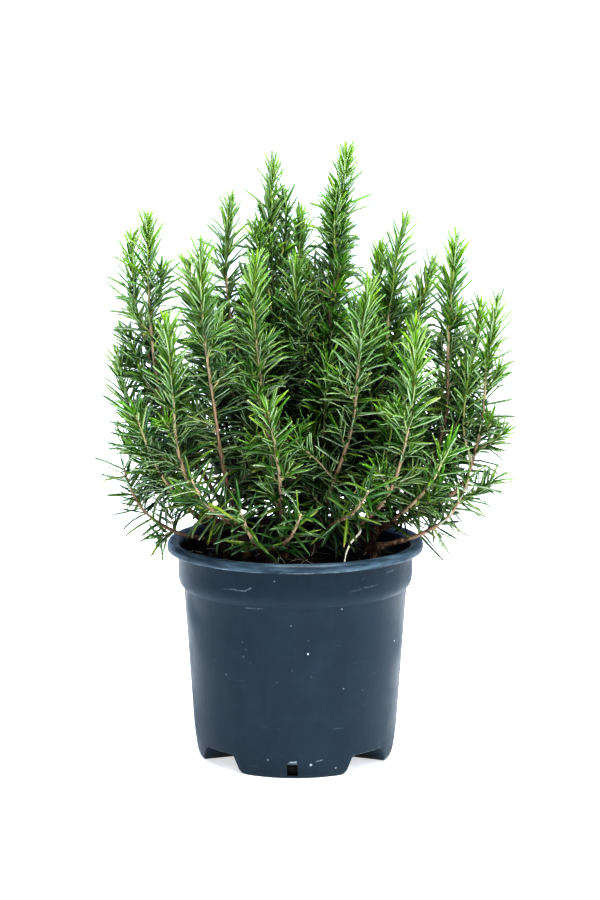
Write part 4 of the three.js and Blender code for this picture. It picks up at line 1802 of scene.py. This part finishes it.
CLUMPS: tuple[Clump, ...] = (
    Clump("centre", (4, 12), (6, 10, 180), (
        ((18, 1, 214), (23, -5, 297), (29, -10, 377), (38, -15, 455)),
        ((-8, 18, 235), (-12, 28, 311), (-19, 37, 377), (-16, 44, 442)),
        ((6, 28, 235), (2, 44, 330), (4, 55, 405)),
    ), 1.25),
    Clump("front", (-8, -30), (-9, -33, 172), (
        ((-16, -28, 215), (-24, -24, 280), (-30, -27, 340), (-27, -30, 377)),
        ((-10, -55, 204), (-13, -66, 235), (-20, -80, 276)),
    ), 0.9, has_sides=False),
    Clump("front_right", (14, -20), (17, -23, 172), (
        ((24, -38, 201), (41, -47, 256), (46, -53, 310), (53, -60, 363)),
        ((45, -33, 180), (68, -50, 208), (82, -60, 263), (86, -68, 323)),
        ((30, -53, 186), (43, -75, 199), (54, -94, 220)),
    ), 0.9, sparse=(3,), has_sides=False),
    Clump("front_left", (-36, -24), (-39, -26, 176), (
        ((-50, -35, 213), (-59, -40, 273), (-66, -45, 332), (-67, -50, 389)),
        ((-64, -40, 190), (-83, -47, 232), (-88, -53, 285), (-91, -60, 337)),
        ((-50, -53, 188), (-63, -73, 203), (-75, -91, 228)),
    ), 0.9, sparse=(3,), has_sides=False),
    Clump("left", (-56, 4), (-61, 4, 170), (
        ((-78, 2, 205), (-98, 0, 262), (-106, -1, 325), (-107, -5, 404)),
        ((-86, 11, 190), (-108, 12, 220), (-124, 11, 262), (-131, 10, 304)),
        ((-80, -14, 190), (-101, -32, 224), (-116, -46, 268)),
    ), 0.62, bare=42.0),
    Clump("left_back", (-44, 28), (-48, 30, 172), (
        ((-78, 27, 222), (-103, 23, 280), (-118, 21, 335), (-121, 24, 388)),
        ((-70, 44, 205), (-93, 55, 255), (-112, 63, 318)),
        ((-78, 42, 186), (-105, 47, 210), (-124, 48, 252)),
    ), 0.56, bare=42.0),
    Clump("back_left", (-22, 40), (-25, 43, 175), (
        ((-36, 42, 225), (-46, 42, 300), (-52, 50, 365), (-48, 58, 414)),
        ((-46, 58, 218), (-66, 68, 290), (-84, 76, 365)),
        ((-42, 72, 194), (-57, 95, 230), (-68, 116, 285)),
    )),
    Clump("back", (6, 48), (6, 53, 176), (
        ((17, 62, 228), (28, 78, 310), (36, 92, 385)),
        ((-6, 72, 220), (-16, 90, 280), (-24, 108, 350)),
        ((9, 84, 197), (11, 108, 235), (13, 130, 288)),
    ), 1.2),
    Clump("back_right", (34, 36), (37, 39, 176), (
        ((46, 42, 235), (57, 44, 310), (64, 48, 378)),
        ((62, 50, 222), (86, 55, 300), (104, 61, 368)),
        ((50, 67, 197), (64, 90, 238), (75, 112, 298)),
    )),
    Clump("right", (54, -6), (60, -7, 171), (
        ((94, 0, 210), (110, -2, 250), (112, -5, 320), (117, -10, 389)),
        ((90, -9, 184), (122, -9, 205), (136, -12, 251), (140, -15, 299), (147, -20, 346)),
        ((80, -28, 190), (98, -47, 214), (110, -62, 244)),
        ((70, -12, 215), (84, -17, 270), (87, -23, 330)),
    ), 0.6, bare=14.0),
    Clump("right_back", (52, 18), (55, 20, 174), (
        ((61, 20, 243), (67, 23, 297), (71, 27, 350), (82, 30, 400)),
        ((84, 19, 215), (116, 17, 256), (131, 17, 296), (138, 20, 340)),
        ((80, 36, 210), (105, 47, 255), (122, 57, 308)),
        ((90, 28, 188), (115, 34, 214), (133, 37, 254)),
    ), 0.6, bare=14.0),
    Clump("front_low", (-20, -50), (-22, -53, 163), (
        ((-31, -72, 178), (-40, -92, 206)),
        ((-5, -72, 177), (6, -92, 203)),
    ), sparse=(1, 2), has_sides=False),
    Clump("left_low", (-51, -14), (-56, -14, 163), (
        ((-90, -14, 172), (-114, -13, 190), (-128, -12, 224)),
    ), sparse=(1,), has_sides=False, bare=34.0),
    Clump("right_low", (57, -28), (62, -29, 163), (
        ((92, -30, 173), (113, -33, 188), (129, -36, 221)),
    ), sparse=(1,), has_sides=False, bare=28.0),
)


@dataclass
class Plant:
    """The rosemary: the woody feet in the soil, and the leafy stems that rise from them."""

    pot: Pot
    soil: Soil
    trunk_radius: float = 3.3
    knuckle_radius: float = 4.1
    branch_radius: float = 2.1
    trunk_depth: float = 19.7
    bare_length: float = 20.0
    overlap: float = 0.8
    branch_flare: float = 1.18
    branch_taper: float = 0.2
    knuckle_swell: float = 0.16
    knob: float = 0.16
    knob_size: float = 2.6
    rib: float = 0.1
    rib_size: float = 0.9
    foot_radius: float = 1.65
    tip_radius: float = 0.7
    ring_gap: float = 3.0
    voxel: float = 0.95
    crown: float = 6.0
    short_spray: float = 130.0
    short_age: float = 40.0
    sparse_age: float = 45.0
    sparse_lush: float = 0.4
    side_gap: float = 30.0
    side_from: float = 26.0
    side_age: float = 34.0
    side_below: float = 62.0
    side_length: float = 92.0
    side_spread: float = 5.0
    side_turn: float = 2.4
    side_shorter: float = 0.72
    outer_gap: float = 1.9
    outer_reach: float = 104.0

    def wood(self, clump: Clump) -> bpy.types.Object:
        """Builds a woody foot: its trunk, its knuckle and the bare start of each stem, grown together.

        Args:
            clump: The clump it belongs to.

        Returns:
            The piece that stands for the CAD's wood of that clump.
        """
        x, y = clump.foot
        surface = self.soil.level(x, y)
        fork = Vector(clump.fork)
        gathering = Gathering()
        foot = [Vector((x, y, surface + height)) for height in (-self.trunk_depth, -8, 1.5)]
        line = [*foot, foot[-1].lerp(fork, 0.5), fork]
        swell = (0.92, 0.96, 1.05, 0.93, 1.0)
        stations = [(point * MM, self.trunk_radius * MM * share) for point, share in zip(line, swell)]
        gathering.add(tube(stations, 14))
        knuckle = bmesh.new()
        bmesh.ops.create_icosphere(knuckle, subdivisions=3, radius=self.knuckle_radius * MM)
        for vertex in knuckle.verts:
            vertex.co *= 1 + self.knuckle_swell * noise.noise(vertex.co / (3 * MM) + fork)
        bmesh.ops.translate(knuckle, verts=knuckle.verts, vec=fork * MM)
        gathering.add(mesh_of(knuckle, "knuckle"))
        for way in clump.ways:
            path = StemPath([Vector(point) * MM for point in (clump.fork, *way)])
            reach = (self.bare_length + self.overlap) * MM
            stations = path.tapered(reach, 9, self.branch_radius, self.branch_flare, self.branch_taper)
            gathering.add(tube(stations, 12))
        fused = with_modifiers(
            gathering.mesh("wood"),
            ("REMESH", {"mode": "VOXEL", "voxel_size": self.voxel * MM, "use_smooth_shade": True}),
            ("SMOOTH", {"factor": 0.5, "iterations": 2}),
        )
        outward = [vertex.normal.copy() for vertex in fused.vertices]
        for vertex, normal in zip(fused.vertices, outward):
            drawn = Vector((vertex.co.x, vertex.co.y, vertex.co.z * 0.2))
            knobs = self.knob * noise.noise(vertex.co / (self.knob_size * MM))
            ribs = self.rib * noise.noise(drawn / (self.rib_size * MM))
            vertex.co += normal * (knobs + ribs) * MM
        node = f"wood_{clump.name}"
        return shown_piece(fused, f"bark_{clump.name}", [Finish.BARK], Slot.WOOD, node)

    def spray(self, clump: Clump, number: int, growth: Growth) -> bpy.types.Object:
        """Builds a leafy stem with its needles and twigs.

        Args:
            clump: The clump it belongs to.
            number: Its number in the clump, from 1.
            growth: How its needles stand.

        Returns:
            The piece that stands for the CAD's spray.
        """
        way = clump.ways[number - 1]
        path = StemPath([Vector(point) * MM for point in (clump.fork, *way)])
        path.length -= self.crown * MM
        sheaf = Gathering("age", "tint", "under", "along")
        start = self.bare_length
        length = path.length / MM
        rings = round((length - start) / self.ring_gap)
        is_sparse = number in clump.sparse
        lush = clump.lush * (self.sparse_lush if is_sparse else 1.0)
        shift = self.short_age if length < self.short_spray else 0.0
        shift += self.sparse_age if is_sparse else 0.0
        stations, ages = [], []
        sides = 8
        for ring in range(rings + 1):
            share = ring / rings
            distance = start + (length - start) * share
            knob = 1 + 0.1 * noise.noise(Vector((distance / 3, number, len(clump.name))))
            radius = (self.foot_radius + (self.tip_radius - self.foot_radius) * share) * knob
            stations.append((path.frame(distance * MM)[0], radius * MM))
            ages += [min((length - distance + shift) / growth.full_age, 1.0)] * sides
        sheaf.add(tube(stations, sides), age=ages)
        growth.dress(sheaf, Shoot(path, clump.bare, shift=shift, lush=lush))
        if clump.has_sides:
            self.side_stems(sheaf, Shoot(path, clump.bare, lush=lush), growth)
        name = f"{clump.name}_{number}"
        return shown_piece(
            sheaf.mesh(f"rosemary_{name}"), f"rosemary_{name}",
            [Finish.STEM, Finish.NEEDLE], Slot.FOLIAGE, f"spray_{name}",
        )

    def side_stems(self, sheaf: Gathering, shoot: Shoot, growth: Growth) -> None:
        """Grows leafy side stems out of the lower half of a spray, which rise beside it.

        Args:
            sheaf: What they are added to.
            shoot: The spray.
            growth: How their needles stand.
        """
        draw, path = growth.draw, shoot.path
        length = path.length / MM
        angle = draw.uniform(0, math.tau)
        is_outer = path.points[-1].to_2d().length > self.outer_reach * MM
        gap = self.side_gap * (self.outer_gap if is_outer else 1.0)
        at = self.side_from + shoot.bare * 0.5
        while at < length - self.side_below:
            root, aim, normal = path.frame(at * MM)
            angle += self.side_turn + draw.gauss(0, 0.3)
            out = normal * math.cos(angle) + aim.cross(normal) * math.sin(angle)
            outward = Vector((root.x, root.y, 0)).normalized()
            out = (out - outward * max(out.dot(outward), 0.0) * 0.7).normalized()
            reach = min(self.side_length, (length - at) * self.side_shorter) * draw.uniform(0.62, 1.0)
            lean = draw.uniform(0.5, 0.85)
            knee = root + (aim + out * lean).normalized() * reach * 0.3 * MM
            crook = knee + (aim + out * lean * 0.45).normalized() * reach * 0.35 * MM
            tip = crook + (aim + Vector((0, 0, 0.3)) + out * 0.1).normalized() * reach * 0.35 * MM
            at += gap * draw.uniform(0.75, 1.3)
            end = path.points[-1].to_2d().length + self.side_spread * MM
            if tip.to_2d().length > end or not (growth.is_clear(knee) and growth.is_clear(crook)):
                continue
            side = StemPath([root, knee, crook, tip])
            steps = max(4, round(reach / 7))
            stations = side.tapered(side.length, steps, 1, 1.25, 0.6)
            ages = [min(reach * (1 - step / steps) / growth.full_age, 1.0) for step in range(steps + 1)]
            sheaf.add(tube(stations, 6), age=[age for age in ages for _ in range(6)])
            growth.dress(sheaf, Shoot(side, 3.0, 0.86, self.side_age, lush=shoot.lush))

    def build(self) -> None:
        """Builds every foot and every spray."""
        growth = Growth(self.pot, self.soil, random.Random(SEED))
        for clump in CLUMPS:
            self.wood(clump)
            for number in range(1, len(clump.ways) + 1):
                self.spray(clump, number, growth)
        log.info("needles: %d", growth.count)


@dataclass
class Studio:
    """A white sweep, soft light from all round, and the camera at the photograph's place."""

    camera_place: Point = (3.48, -1862.2, 542.0)
    camera_drop: float = 9.51
    lens: float = 102.3
    sweep: float = 6000.0
    back_light: float = 1.25
    front_light: float = 0.04
    paper_light: float = 1.3
    room_colour: Hex = "#C6DCFF"
    paper_colour: Hex = "#DDEAFF"
    key_place: Point = (300.0, -520.0, 2000.0)
    key_size: float = 1300.0
    key_power: float = 78.0
    front_place: Point = (350.0, -1750.0, 1300.0)
    front_power: float = 6.0
    left_place: Point = (-1350.0, 1500.0, 900.0)
    right_place: Point = (1500.0, -1000.0, 1100.0)
    side_size: float = 800.0
    left_power: float = 15.0
    right_power: float = 5.4

    def camera(self) -> None:
        """Sets the camera up as the photograph was taken."""
        data = bpy.data.cameras.new("camera")
        data.lens = self.lens
        data.sensor_width = 36.0
        data.clip_start, data.clip_end = 0.05, 50.0
        camera = bpy.data.objects.new("camera", data)
        camera.location = Vector(self.camera_place) * MM
        camera.rotation_euler = (math.radians(90 - self.camera_drop), 0.0, 0.0)
        bpy.context.scene.collection.objects.link(camera)
        bpy.context.scene.camera = camera

    def floor(self) -> None:
        """Lays the white paper that the pot stands on."""
        shape = bmesh.new()
        bmesh.ops.create_grid(shape, x_segments=8, y_segments=8, size=self.sweep / 2 * MM)
        mesh = mesh_of(shape, "paper", smooth=False)
        mesh.materials.append(Finish.PAPER.material())
        paper = bpy.data.objects.new("paper", mesh)
        bpy.context.scene.collection.objects.link(paper)
        paper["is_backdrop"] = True

    def lamp(self, name: str, place: Point, size: float, power: float, colour: Hex) -> None:
        """Hangs a soft box that points at the middle of the plant.

        Args:
            name: The lamp's name.
            place: Where it hangs.
            size: The side of its box.
            power: Its power, in watts.
            colour: Its colour.
        """
        data = bpy.data.lights.new(name, "AREA")
        data.size = size * MM
        data.energy = power
        data.color = linear(colour)[:3]
        lamp = bpy.data.objects.new(name, data)
        lamp.location = Vector(place) * MM
        aim = Vector((0, 0, 0.25)) - lamp.location
        lamp.rotation_euler = aim.to_track_quat("-Z", "Y").to_euler()
        bpy.context.scene.collection.objects.link(lamp)

    def surroundings(self) -> None:
        """Makes the white room: paper all round, and above it light from behind, dim where the camera is."""
        world = bpy.data.worlds.new("white_room")
        world.use_nodes = True
        tree = world.node_tree
        tree.nodes.clear()
        way = add_node(tree, "TexCoord").outputs["Generated"]
        _, depth, rise = add_node(tree, "SeparateXYZ", way).outputs
        light = add_node(tree, "MapRange", depth, 0.15, 0.75, self.front_light, self.back_light).outputs[0]
        room = add_node(tree, "Background", self.room_colour, light).outputs[0]
        paper = add_node(tree, "Background", self.paper_colour, self.paper_light).outputs[0]
        high = add_node(tree, "MapRange", rise, 0.17, 0.23).outputs[0]
        both = add_node(tree, "MixShader", high, paper, room).outputs[0]
        add_node(tree, "OutputWorld", both)
        bpy.context.scene.world = world

    def build(self) -> None:
        """Sets the studio up."""
        self.camera()
        self.floor()
        self.surroundings()
        self.lamp("key", self.key_place, self.key_size, self.key_power, "#FFFDF8")
        self.lamp("front", self.front_place, self.side_size, self.front_power, "#FFFFFF")
        self.lamp("left", self.left_place, self.side_size, self.left_power, "#C4DAFF")
        self.lamp("right", self.right_place, self.side_size, self.right_power, "#C8DEFF")
        bpy.context.scene.view_settings.view_transform = "Standard"
        bpy.context.scene.view_settings.look = "Very High Contrast"


def write_sizes() -> None:
    """Works out the CAD's box and the visual model's box as plain lists, which it keeps nowhere."""
    boxes = {"cad": CAD_BOX, "visual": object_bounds()}
    plain = {name: [list(corner) for corner in box] for name, box in boxes.items()}


def main() -> None:
    """Builds the studio and every sub-assembly, in order."""
    logging.basicConfig(level=logging.INFO, format="%(message)s")
    Studio().build()
    pot = Pot()
    pot.build()
    soil = Soil(pot)
    soil.build()
    soil.build_litter()
    Plant(pot, soil).build()
    write_sizes()


if __name__ == "__main__":
    main()
